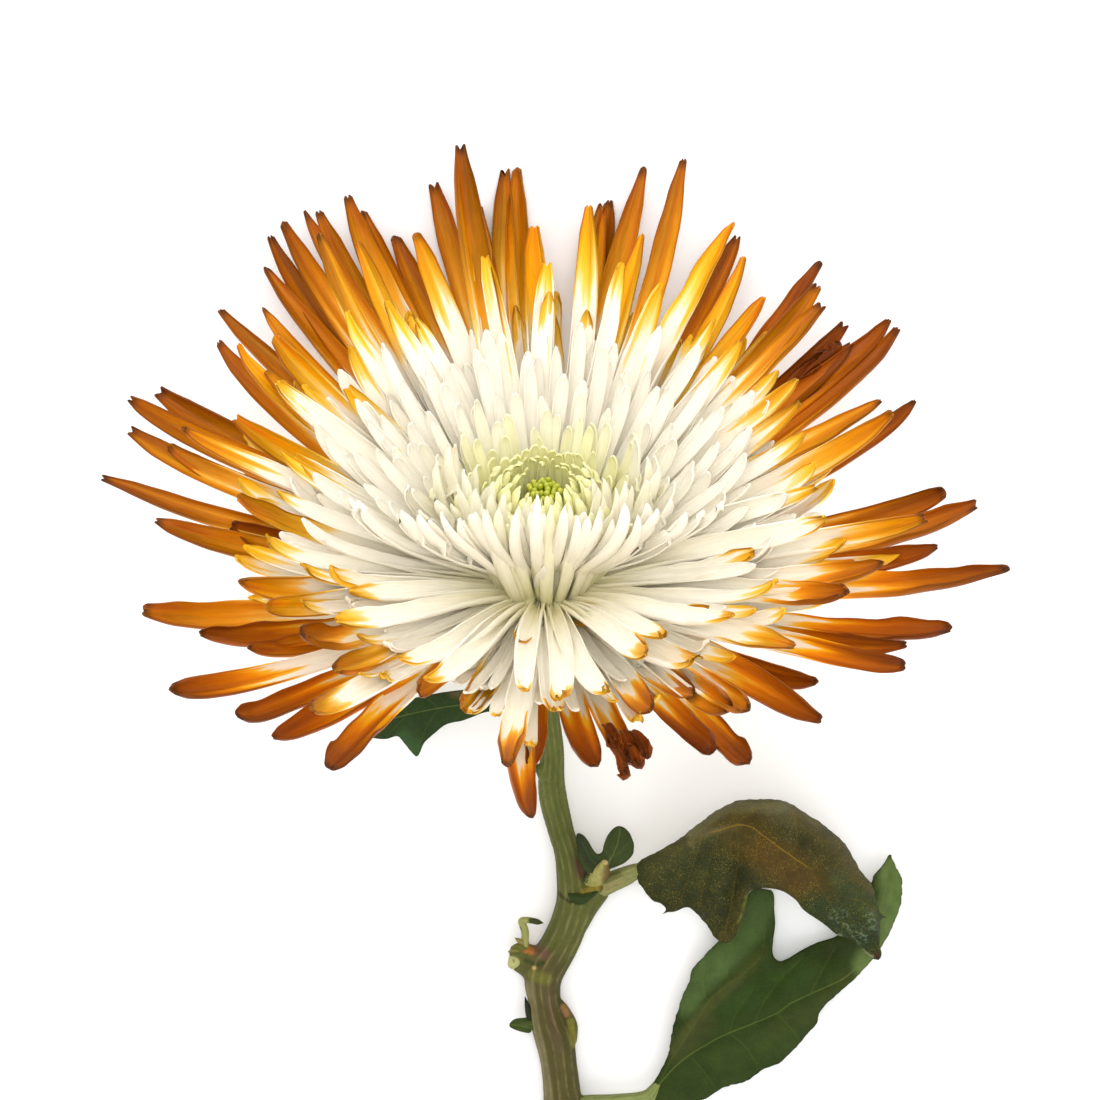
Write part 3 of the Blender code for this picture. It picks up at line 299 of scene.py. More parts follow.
# Each blade: outline, midrib with heights, side veins, folds (line, breadth in pixels, lift), slopes on
# either side of the midrib, height of its waves and of the quilting between veins, spacing of its net in
# pixels, ground colour, stain marks with some painted light and shade, and where it is glossy and carries
# painted glints (line, breadth in pixels)
BLADES = {
    "leaf_arched": {
        "outline": (
            (641, 861), (655, 853), (667, 847), (684, 836), (699, 824), (714, 813), (730, 804), (747, 800),
            (766, 800), (783, 801), (798, 809), (817, 821), (834, 834), (848, 849), (858, 868), (870, 883),
            (876, 900), (880, 914), (886, 917), (880, 921), (879, 940), (881, 955), (874, 959), (861, 948),
            (850, 939), (838, 935), (823, 923), (804, 910), (796, 900), (783, 891), (770, 888), (760, 888),
            (750, 891), (746, 904), (741, 923), (735, 937), (726, 943), (715, 937), (707, 925), (697, 913),
            (687, 907), (676, 911), (668, 912), (662, 914), (666, 910), (663, 904), (652, 900), (645, 891),
            (639, 881), (635, 871),
        ),
        "midrib": (
            (638, 871, 7.0), (667, 852, 11.0), (690, 843, 14.0), (704, 834, 15.8), (720, 830, 17.0),
            (737, 825, 18.3), (751, 827, 18.6), (761, 834, 18.8), (777, 846, 18.6), (791, 856, 18.0),
            (810, 869, 17.0), (829, 884, 15.2), (845, 897, 13.2), (860, 911, 11.0), (870, 930, 9.4),
            (877, 955, 7.6),
        ),
        "veins": (
            ((702, 835), (698, 850), (690, 875), (680, 902)),
            ((736, 826), (739, 850), (735, 885), (725, 932)),
            ((720, 831), (712, 855), (704, 885), (701, 905)),
            ((776, 845), (780, 862), (790, 885), (801, 903)),
            ((810, 869), (822, 890), (838, 915), (850, 933)), ((690, 843), (706, 828), (724, 812)),
            ((736, 825), (752, 812), (772, 804)), ((791, 856), (797, 838), (793, 815)),
            ((810, 869), (826, 858), (840, 847)), ((829, 884), (848, 880), (864, 882)),
            ((845, 897), (862, 902), (876, 912)), ((760, 833), (757, 860), (765, 884)),
        ),
        "folds": (
            (((797, 821), (822, 838), (845, 856), (862, 884)), 9, 0.7),
            (((700, 828), (735, 806), (780, 806)), 8, 0.8), (((655, 868), (690, 880), (720, 905)), 14, 0.9),
        ),
        "drop": (0.95, 0.42), "wave": 0.5, "quilt": 0.35, "spacing": 2.7,
        "ribbed": (24.0, 36.0, 78.0, 100.0), "ground": (35, 41, 7),
        "stains_and_painted_light": (
            # Partly the leaf's grey-brown, partly painted light on the upper band, which faces the sky
            (((650, 862), (700, 826), (750, 803), (800, 812)), 24, (74, 71, 38), 0.85),
            # Painted sheen along the upper band
            (((690, 832), (730, 808), (790, 808), (820, 824)), 8, (104, 102, 72), 0.6),
            (((700, 836), (730, 818), (780, 822)), 4, (66, 60, 26), 0.6),
            (((800, 815), (840, 846), (866, 884)), 20, (74, 67, 32), 0.7),
            (((650, 876), (680, 868), (700, 880)), 30, (42, 50, 16), 0.7),
            # Painted highlight along the crest where the blade bends over the midrib
            (((692, 843), (712, 832), (740, 826)), 5, (108, 98, 58), 0.6),
            (((700, 842), (725, 836), (750, 842)), 9, (44, 50, 20), 0.7),
            (((745, 835), (790, 866), (840, 902)), 36, (66, 54, 6), 0.75),
            (((760, 850), (790, 874), (824, 898)), 22, (80, 50, 3), 0.4),
            (((725, 938), (738, 910), (748, 893)), 10, (66, 58, 20), 0.5),
            (((820, 912), (850, 920), (872, 930)), 34, (24, 44, 8), 0.95),
            (((838, 880), (856, 896), (872, 912)), 16, (46, 60, 24), 0.8),
            (((748, 892), (744, 908), (739, 922)), 1.6, (102, 112, 36), 0.7),
            (((838, 936), (856, 947), (872, 957)), 2.2, (168, 180, 130), 0.8),
            (((877, 955),), 6, (48, 26, 20), 0.95),
        ),
        # Glossy parts, which also carry painted glints
        "gloss": ((((836, 914), (848, 924), (862, 936)), 13), (((868, 912), (874, 930)), 7)),
    },
    "leaf_lower": {
        "outline": (
            (889, 855), (893, 861), (898, 870), (901, 879), (902, 894), (897, 915), (890, 931), (882, 946),
            (871, 961), (857, 976), (842, 990), (827, 1003), (819, 1014), (816, 1024), (807, 1034),
            (794, 1049), (780, 1062), (762, 1070), (744, 1082), (726, 1086), (706, 1098), (682, 1104),
            (656, 1106), (648, 1098), (652, 1086), (661, 1070), (670, 1049), (672, 1033), (676, 1018),
            (680, 1003), (689, 982), (693, 969), (707, 953), (719, 941), (738, 917), (751, 891), (762, 889),
            (773, 893), (774, 910), (775, 925), (773, 942), (773, 955), (779, 961), (787, 959), (802, 950),
            (819, 942), (838, 935), (854, 918), (866, 899), (871, 883), (874, 875), (882, 866),
        ),
        "midrib": (
            (648, 1098, 3.4), (680, 1062, 4.2), (709, 1043, 4.8), (729, 1033, 5.0), (754, 1023, 5.0),
            (777, 1013, 4.8), (791, 1003, 4.5), (810, 994, 4.2), (828, 986, 3.8), (847, 976, 3.4),
            (864, 956, 2.8), (876, 925, 2.4), (885, 890, 2.6), (889, 862, 3.4),
        ),
        "veins": (
            (
                (656, 1090), (671, 1060), (690, 1030), (708, 1003), (728, 985), (745, 972), (762, 953),
                (765, 925), (763, 898),
            ),
            ((708, 1003), (703, 985), (706, 962)), ((729, 985), (727, 965), (733, 940)),
            ((754, 1023), (765, 1000), (782, 978), (800, 960)), ((810, 994), (822, 970), (835, 948)),
            ((729, 1033), (745, 1046), (757, 1064)), ((777, 1013), (790, 1028), (799, 1040)),
            ((690, 1056), (705, 1072), (715, 1086)), ((690, 1030), (683, 1015), (684, 1000)),
            ((864, 956), (868, 930), (872, 905), (876, 884)), ((876, 925), (888, 905), (896, 888)),
            ((729, 1033), (738, 1010), (752, 990)),
        ),
        "folds": (
            (((671, 1050), (700, 1012), (730, 985), (762, 955)), 7, 0.9),
            (((690, 1000), (715, 975), (735, 945)), 12, 0.5),
        ),
        "drop": (0.1, 0.16), "wave": 0.6, "quilt": 0.3, "spacing": 3.2, "ground": (38, 55, 5),
        "stains_and_painted_light": (
            (((690, 1000), (700, 975), (730, 950), (760, 905)), 27, (78, 100, 50), 0.75),
            # Painted shadow: a dark line beside the fold
            (((686, 1034), (712, 1000), (742, 978)), 10, (38, 48, 8), 0.85),
            (((682, 1032), (706, 1002), (736, 982)), 4.5, (54, 64, 18), 0.5),
            (((672, 1050), (700, 1016), (730, 986), (764, 950)), 8, (74, 78, 28), 0.4),
            (((676, 1054), (694, 1036), (708, 1020)), 14, (62, 62, 24), 0.45),
            (((730, 1012), (760, 990), (800, 975)), 18, (38, 64, 8), 0.6),
            (((830, 950), (850, 945), (860, 925)), 18, (40, 52, 12), 0.85),
            (((776, 1030), (815, 1010), (850, 980)), 16, (50, 60, 14), 0.7),
            (((866, 965), (882, 935), (893, 895), (889, 865)), 20, (96, 114, 60), 0.9),
            (((892, 865), (898, 890), (892, 920)), 8, (84, 106, 48), 0.6),
            (((720, 1060), (750, 1052), (785, 1040)), 18, (50, 66, 16), 0.6),
        ),
    },
    "leaf_under_bloom": {
        "outline": (
            (361, 722), (365, 713), (380, 708), (398, 703), (415, 698), (440, 693), (464, 690), (488, 692),
            (500, 699), (496, 709), (482, 713), (464, 720), (447, 724), (436, 732), (424, 743), (417, 756),
            (406, 745), (398, 736), (386, 739), (371, 737), (366, 730),
        ),
        "midrib": (
            (500, 703, 13.4), (470, 704, 12.2), (440, 708, 10.4), (410, 714, 8.4), (385, 720, 6.4),
            (366, 723, 5.0),
        ),
        "veins": (
            ((470, 704), (460, 697), (452, 693)), ((440, 708), (428, 700), (418, 698)),
            ((440, 708), (428, 725), (418, 750)), ((410, 714), (398, 708), (388, 706)),
            ((410, 714), (398, 724), (388, 736)), ((470, 704), (462, 712), (455, 720)),
        ),
        "drop": (0.25, 0.25), "wave": 0.3, "quilt": 0.25, "spacing": 2.6, "ground": (34, 55, 17),
        "stains_and_painted_light": (
            (((455, 692), (498, 697)), 10, (90, 78, 48), 0.8),
            (((405, 740), (417, 752)), 14, (52, 84, 40), 0.7),
        ),
    },
    "leaflet_round": {
        "outline": (
            (577, 834), (583, 835), (588, 841), (592, 848), (597, 854), (602, 852), (604, 844), (608, 835),
            (614, 828), (620, 826), (627, 830), (632, 838), (634, 846), (632, 855), (624, 863), (612, 868),
            (598, 872), (586, 872), (580, 862), (577, 848),
        ),
        "midrib": ((606, 872, 7.0), (612, 857, 8.6), (618, 842, 10.0), (620, 829, 10.4)),
        "veins": (
            ((612, 857), (606, 850), (606, 842)), ((612, 857), (622, 850), (628, 842)),
            ((606, 871), (592, 860), (582, 842)),
        ),
        "drop": (0.15, 0.15), "wave": 0.1, "quilt": 0.15, "spacing": 1.8, "ground": (48, 60, 22),
        "stains_and_painted_light": ((((577, 834), (590, 860), (600, 868)), 9, (34, 40, 20), 0.8),),
    },
    "leaflet_low": {
        "outline": (
            (530, 1019), (522, 1018), (515, 1019), (510, 1023), (510, 1027), (516, 1030), (523, 1032),
            (531, 1032),
        ),
        "midrib": ((530, 1025, 3.6), (519, 1025, 3.4), (511, 1025, 2.8)),
        "veins": (((526, 1025), (520, 1021)), ((526, 1025), (520, 1029))), "drop": (0.1, 0.1), "wave": 0.0,
        "quilt": 0.08, "spacing": 1.4, "ground": (50, 66, 14),
    },
}
# Stalks: the leaf's name, rows as the stem's, ground colour and stains
STALKS = (
    ("leaf_arched", (
         (590, 891, 4.4, 1.9), (602, 886, 4.8, 1.75), (614, 881, 5.3, 1.6), (626, 876, 6.0, 1.5),
         (636, 871, 6.4, 1.2), (646, 866, 7.0, 0.6),
     ), (122, 124, 72), (
         (((590, 880), (606, 880), (618, 874)), 6, (64, 70, 24), 0.7),
         (((604, 889), (620, 882)), 6, (140, 132, 84), 0.7),
     )),
    ("leaf_lower", (
         (570, 1110, 3.4, 2.0), (588, 1106, 3.8, 1.7), (618, 1103, 3.9, 1.4), (646, 1098, 3.4, 1.2),
         (660, 1082, 3.2, 0.7), (676, 1066, 3.4, 0.2),
     ), (122, 132, 74), ()),
    ("leaf_under_bloom", (
         (534, 704, 14.1, 1.1), (516, 704, 13.9, 1.0), (500, 703, 13.3, 0.85), (484, 704, 12.4, 0.4),
     ), (84, 98, 44), ()),
    ("leaflet_round", ((590, 880, 5.6, 1.0), (600, 870, 6.8, 0.85), (611, 857, 8.4, 0.4)),
     (72, 82, 42), ()),
    ("leaflet_low", ((534, 1025, 3.4, 0.9), (526, 1025, 3.5, 0.6), (519, 1025, 3.3, 0.25)),
     (60, 74, 30), ()),
)
STALK_SIDES = 24
STALK_RIDGES = 9
TWIG_SIDES = 14
STEM_SIDES = 28

AXIS = np.array((0, cos(TILT), sin(TILT)))
NEAR = np.array((0, -sin(TILT), cos(TILT)))  # in the head's plane, towards the viewer
ACROSS = np.array((1.0, 0, 0))
CENTRE_X = (VIEW_CENTRE_PX[0] - ORIGIN_PX[0]) * PIXEL
CENTRE_Y = (ORIGIN_PX[1] - VIEW_CENTRE_PX[1]) * PIXEL


def at(across, down, height):
    """The places at these heights that the view shows at pixels."""
    spread = PIXEL * (1 - height / VIEW_HEIGHT)
    x = (across - VIEW_CENTRE_PX[0]) * spread + CENTRE_X
    y = (VIEW_CENTRE_PX[1] - down) * spread + CENTRE_Y
    return np.stack((x, y, height), -1)


def pixels_of(points):
    """Where the view shows places, the inverse of at()."""
    spread = PIXEL * (1 - points[:, 2] / VIEW_HEIGHT)
    across = VIEW_CENTRE_PX[0] + (points[:, 0] - CENTRE_X) / spread
    down = VIEW_CENTRE_PX[1] - (points[:, 1] - CENTRE_Y) / spread
    return np.stack([across, down], -1)


HEAD = at(*HEAD_PX, HEAD_HEIGHT)


def between(limits, share):
    return limits[0] + (limits[1] - limits[0]) * share


def smooth(values, low, high):
    """A soft step from 0 at low to 1 at high."""
    share = np.clip((values - low) / (high - low), 0, 1)
    return share * share * (3 - 2 * share)


def bell(values):
    return np.exp(-(values**2))


def eased(heights, least, softness):
    """Heights bent smoothly up so that they stay above the least."""
    return least + softness * np.logaddexp(0, (heights - least) / softness)


def unit(vectors):
    return vectors / np.linalg.norm(vectors, axis=-1, keepdims=True)


def circle(sides):
    return np.linspace(0, 2 * pi, sides, endpoint=False)


def ring_of(turn, right, up):
    """Offsets at angles round a circle, its radius 1, between two directions."""
    return np.cos(turn)[..., None] * right + np.sin(turn)[..., None] * up


def off_floor(points):
    points[..., 2] = np.maximum(points[..., 2], FLOOR_GAP)
    return points


def tube_quads(rings, sides):
    """Quads of a tube's wall from its points, ring after ring."""
    ring = np.arange(rings - 1)[:, None] * sides
    slot = np.arange(sides)
    after = (slot + 1) % sides
    next_ring = ring + sides
    return np.stack([ring + slot, ring + after, next_ring + after, next_ring + slot], -1).reshape(-1, 4)


def copies(quads, count, size):
    """The same quads for each of several blocks of this many points."""
    return (quads[None] + (np.arange(count) * size)[:, None, None]).reshape(-1, 4)


def outward(azimuth):
    """The direction in the head's plane at an angle about its axis."""
    return ACROSS * cos(azimuth) + NEAR * sin(azimuth)


def head_place(polar, azimuth, reach):
    """The place at an angle from the head's axis, an angle about it and a distance from its centre."""
    return HEAD + (outward(azimuth) * sin(polar) + AXIS * cos(polar)) * reach


def root_place(polar, azimuth):
    """Where a floret starts, inside the core."""
    return HEAD + (outward(azimuth) * CORE_RADIUS * sin(polar) + AXIS * CORE_RISE * cos(polar)) * ROOT_DEPTH


def rim_tip(across, down, layer):
    """Where a long floret ends: on its layer's cone, at its pixel, but not past the layer's reach."""
    side_rise, gain, longest = LAYERS[layer][:3]
    height = HEAD_HEIGHT
    for _ in range(6):
        x, y = (at(across, down, height) - HEAD)[:2]
        flat = x**2 + y**2
        steep = sin(side_rise + gain * (y / sqrt(flat))) ** 2
        square = AXIS[2] ** 2 - steep
        slope = 2 * y * AXIS[1] * AXIS[2]
        plain = (y * AXIS[1]) ** 2 - steep * flat
        rise = (-slope + sqrt(max(slope**2 - 4 * square * plain, 0.0))) / (2 * square)
        room = sqrt(max(longest**2 - flat, 0.0))
        height = HEAD_HEIGHT + max(-room, min(room, rise))
    return at(across, down, height)


def rim_florets():
    """The facts of each long outer floret, by layer."""
    draw, looks = Random(SEED), Random(SEED + 20)
    layers = [[], [], []]
    for number, (across, down, layer) in enumerate(RIM_TIPS_PX):
        root_polar, width = LAYERS[layer][3:]
        tip = rim_tip(across, down, layer)
        away = tip - HEAD
        azimuth = atan2(away @ NEAR, away @ ACROSS)
        near = max(0.0, sin(azimuth))
        dyed = looks.uniform(*DYE_LENGTHS[layer]) * (1 - NEAR_DYE_CUT * near)
        dyed *= 1 + UPPER_RIGHT_DYE * max(0.0, cos(azimuth + pi / 4)) ** 4
        deepening = NEAR_DEPTH * (near + max(0.0, cos(azimuth)))
        deepening -= FAR_PALENESS * max(0.0, -sin(azimuth)) ** 5
        layers[layer].append(dict(
            PLAIN_FLORET, number=number, tip=tip, open=RIM_OPEN,
            root=root_place(root_polar + draw.uniform(-ANGLE_JITTER, ANGLE_JITTER), azimuth),
            rise=draw.uniform(*RIM_RISE),
            hook=draw.uniform(*RIM_HOOK) * RIM_LOOK_HOOK,
            twist=draw.uniform(-RIM_TWIST, RIM_TWIST),
            width=width * draw.uniform(*RIM_WIDTHS) * (1.04 + NEAR_BREADTH * near),
            curls=(looks.uniform(1.9, 2.6), looks.uniform(0.9, 2.0), looks.uniform(0.7, 1.9)),
            bend=looks.uniform(-0.025, 0.025) + RIM_BENDS.get((across, down), 0.0),
            hood=looks.uniform(-1.6, 1.8) * MM,
            outline=looks.choice(NEAR_OUTLINES if sin(azimuth) > 0 else FAR_OUTLINES),
            tip_shape=looks.choice((0, 1, 2, 2, 3)),
            ripple=looks.uniform(0.03, 0.16),
            dye_start=np.linalg.norm(away) - dyed,
            dye_length=dyed / DYE_ENDS[layer],
            deep=min(1.0, max(0.0, looks.uniform(*DEEP_SHARES[layer]) + deepening)),
            tone=looks.uniform(0.0, 1.0),
        ))
    return layers


def withered_florets():
    """The facts of the small shrivelled florets, in a clump under the head and one at its rim."""
    looks = Random(SEED + 27)
    for number, (across, down) in enumerate(WITHERED_TIPS_PX):
        tip = rim_tip(across, down, 0) + np.array((0, 0, looks.uniform(0.5, 2.5) * MM))
        yield dict(
            PLAIN_FLORET, number=1200 + number, tip=tip, tip_shape=2, dye_length=37 * MM, deep=1.0,
            root=tip + (HEAD - tip) * looks.uniform(0.10, 0.15),
            rise=looks.uniform(0.2, 0.8),
            hook=looks.uniform(0.6, 1.5),
            twist=looks.uniform(-1.6, 1.6),
            width=looks.uniform(1.5, 2.0) * MM,
            curls=(1.4, looks.uniform(1.6, 2.2), looks.uniform(2.0, 2.7)),
            bend=looks.uniform(-0.12, 0.12),
            hood=looks.uniform(-1.0, 1.0) * MM,
            outline=looks.choice(("spoon", "blunt")),
            ripple=looks.uniform(0.25, 0.45),
            tone=looks.uniform(0.0, 0.6),
        )


def parted(polar, azimuth):
    """The angle from the axis, moved off the one that points at the camera on the near side."""
    away = polar - VIEW_POLAR
    reach = PARTINGS[away > 0] * max(0.0, sin(azimuth)) ** 1.5
    if abs(away) >= reach:
        return polar
    return VIEW_POLAR + (reach * 0.75 + abs(away) * 0.25) * (1 if away > 0 else -1)


def short_floret(looks, number, azimuth, polar, reach, root_polar, rise, hook, twist, width, young):
    """The facts of one floret that ends at an angle from the axis, at this reach from the head's centre."""
    near = max(0.0, sin(azimuth))
    beside = max(0.0, 1 - abs(polar - VIEW_POLAR) / radians(26)) * near
    dyed = looks.uniform(4, 9) * MM
    return dict(
        PLAIN_FLORET, number=number, hook=hook, twist=twist, young=young, open=SHORT_OPEN,
        root=root_place(root_polar, azimuth),
        tip=head_place(parted(polar, azimuth), azimuth, reach),
        rise=rise * (1 - 0.6 * near),
        width=width * (1 - 0.3 * beside),
        curls=(looks.uniform(1.7, 2.3), looks.uniform(0.8, 1.4), looks.uniform(0.45, 1.0)),
        bend=looks.uniform(-0.03, 0.03),
        hood=looks.uniform(0.0, 0.8) * MM,
        outline=looks.choice(SHORT_OUTLINES),
        tip_shape=looks.choice((0, 0, 3, 3)),
        ripple=looks.uniform(0.0, 0.08),
        dye_start=reach - dyed if reach > GOLDEN_REACH else reach + 3 * MM,
        dye_length=dyed * 2,
        deep=looks.uniform(0.0, 0.2),
        tone=looks.uniform(0.0, 1.0),
    )


def inner_florets():
    """The facts of the shorter florets round the eye: the solids' own, by the golden angle."""
    draw, looks = Random(SEED + 1), Random(SEED + 21)
    for number in range(INNER_COUNT):
        out = (number + 0.5) / INNER_COUNT
        polar = between(INNER_POLAR, out**POLAR_POWER) + draw.uniform(-ANGLE_JITTER, ANGLE_JITTER)
        reach = between(INNER_REACH, out**REACH_POWER) * draw.uniform(*REACH_SPREAD)
        azimuth = number * GOLDEN_ANGLE + draw.uniform(-ANGLE_JITTER, ANGLE_JITTER)
        yield short_floret(
            looks, 200 + number, azimuth, polar, reach,
            root_polar=between(ROOT_POLARS, out),
            rise=between(INNER_RISE, out),
            hook=draw.uniform(*INNER_HOOK) * 0.8,
            twist=draw.uniform(-INNER_TWIST, INNER_TWIST),
            width=between(INNER_WIDTH, out**WIDTH_POWER),
            young=max(0.0, 1 - out / 0.30),
        )


def filling_florets():
    """The facts of the florets that close the gaps between the others."""
    looks = Random(SEED + 22)
    for number in range(FILL_COUNT):
        out = (number + 0.5) / FILL_COUNT
        azimuth = 1.3 + number * GOLDEN_ANGLE + looks.uniform(-0.1, 0.1)
        polar = between(FILL_POLAR, out**0.6) + looks.uniform(-0.06, 0.06)
        if sin(azimuth) <= 0.45 or polar <= VIEW_POLAR + radians(6):
            yield short_floret(
                looks, 400 + number, azimuth, polar,
                reach=between(FILL_REACH, out**0.75) * looks.uniform(0.88, 1.04),
                root_polar=between((radians(20), radians(88)), out),
                rise=between((radians(-22), radians(8)), out),
                hook=radians(looks.uniform(8, 30)),
                twist=looks.uniform(-0.5, 0.5),
                width=between(FILL_WIDTH, out**0.6) * looks.uniform(0.85, 1.1),
                young=max(0.0, 1 - out / 0.24),
            )


def fan_florets():
    """The facts of the upright florets on the near side, which rise from the parting towards the eye."""
    looks = Random(SEED + 23)
    for number in range(FAN_COUNT):
        azimuth = radians(90 + looks.uniform(-3, 3) + ((number * 0.618) % 1 - 0.5) * FAN_SPREAD)
        polar = between(FAN_POLAR, looks.uniform(0, 1))
        rise = between(FAN_RISES, sqrt(looks.uniform(0, 1)))
        reach = min(FAN_REACH[1], max(FAN_REACH[0], rise / sin(VIEW_POLAR - polar)))
        floret = short_floret(
            looks, 700 + number, azimuth, polar, reach,
            root_polar=radians(looks.uniform(56, 76)),
            rise=radians(looks.uniform(-30, -18)),
            hook=radians(looks.uniform(10, 26)),
            twist=looks.uniform(-0.35, 0.35),
            width=looks.uniform(2.1, 3.0) * MM,
            young=looks.uniform(0.05, 0.3),
        )
        floret["outline"] = looks.choice(("tapered", "pointed", "pointed"))
        yield floret
    wedge = short_floret(
        looks, 790, pi / 2, radians(36), 22 * MM, root_polar=radians(52), rise=0.0, hook=radians(10),
        twist=0.0, width=4.0 * MM, young=0.0,
    )
    tip = head_place(VIEW_POLAR - WEDGE_LEAN, pi / 2, WEDGE_REACH)
    yield dict(wedge, tip=tip, outline="wedge", curls=(1.1, 0.9, 0.7), open=0.0)


def crown_florets():
    """The facts of the small curled florets that stand round the eye."""
    looks = Random(SEED + 24)
    for number in range(CROWN_COUNT):
        out = (number + 0.5) / CROWN_COUNT
        yield short_floret(
            looks, 800 + number, number * GOLDEN_ANGLE + 0.4,
            polar=between(CROWN_POLAR, out) + looks.uniform(-0.015, 0.015),
            reach=between(CROWN_REACH, out) * looks.uniform(0.98, 1.03),
            root_polar=between((radians(14), radians(32)), out),
            rise=radians(looks.uniform(-16, -8)),
            hook=radians(looks.uniform(30, 65)),
            twist=looks.uniform(-0.5, 0.5),
            width=between(CROWN_WIDTH, out),
            young=between((1.0, 0.7), out),
        )


def bract_florets(foot):
    """The facts of the involucre's bracts, in overlapping rows up the cup from its foot."""
    looks = Random(SEED + 26)
    for row, (share, count, length) in enumerate(LOOK_BRACTS):
        radius = CUP_RADIUS * (0.34 + 0.58 * share)
        axial = foot + (CUP_DEPTH - 1.4 * MM) * share
        for number in range(count):
            away = outward(2 * pi * (number + row * 0.5) / count + looks.uniform(-0.05, 0.05))
            end = min(axial + length * looks.uniform(0.9, 1.05), CORE_BASE + 0.4 * MM)
            yield dict(
                PLAIN_FLORET, number=900 + row * 40 + number, rise=-0.35, hook=0.35, curls=(0.7, 0.8, 0.9),
                outline="tapered", ripple=0.1,
                root=HEAD + away * (radius - 1.0 * MM) + AXIS * (axial - 1.2 * MM),
                tip=HEAD + away * (radius + looks.uniform(1.3, 2.1) * MM) + AXIS * end,
                twist=looks.uniform(-0.15, 0.15),
                width=looks.uniform(2.7, 3.3) * MM,
                tone=looks.uniform(0, 1),
            )


def column(florets, key):
    return np.array([floret[key] for floret in florets], float)


def facts(florets, key):
    return column(florets, key)[:, None, None]


def table_rows(places, knots, rows):
    """What each row of values says at places between the knots it belongs to."""
    return np.array([np.interp(places, knots, row) for row in rows])


def turned_towards(direction, angle):
    """Directions turned by angles towards the head's axis."""
    side = unit(AXIS - direction * (direction @ AXIS)[:, None])
    return direction * np.cos(angle)[:, None] + side * np.sin(angle)[:, None]


def strap_course(florets, share):
    """At each share of the way along florets: the middle line, the face's direction and the side's."""
    root, tip = column(florets, "root"), column(florets, "tip")
    chord = unit(tip - root)
    reach = np.linalg.norm(tip - root, axis=1)[:, None]
    first = root + turned_towards(chord, column(florets, "rise")) * (reach * ROOT_HANDLE)
    last = tip - turned_towards(chord, column(florets, "hook")) * (reach * TIP_HANDLE)
    middle = (root + tip) / 2 - HEAD
    out = unit(middle - (middle @ AXIS)[:, None] * AXIS)[:, None, None]
    rest = 1 - share

    def blend(*weights):
        corners = (root, first, last, tip)
        return sum(corner[:, None, None] * weight[..., None] for corner, weight in zip(corners, weights))

    place = blend(rest**3, 3 * rest**2 * share, 3 * rest * share**2, share**3)
    heading = unit(blend(-(rest**2), rest**2 - 2 * rest * share, 2 * rest * share - share**2, share**2))
    face = unit(AXIS * (heading * out).sum(-1, keepdims=True) - out * (heading @ AXIS)[..., None])
    side = np.cross(heading, face)
    facing = np.arctan2(-side[..., 2] * np.sign(face[..., 2]), np.abs(face[..., 2]))
    angle = facts(florets, "twist") * share + facing * smooth(share, 0.1, 0.7) * facts(florets, "open")
    turn, lean = np.cos(angle)[..., None], np.sin(angle)[..., None]
    return place, face * turn - side * lean, side * turn + face * lean


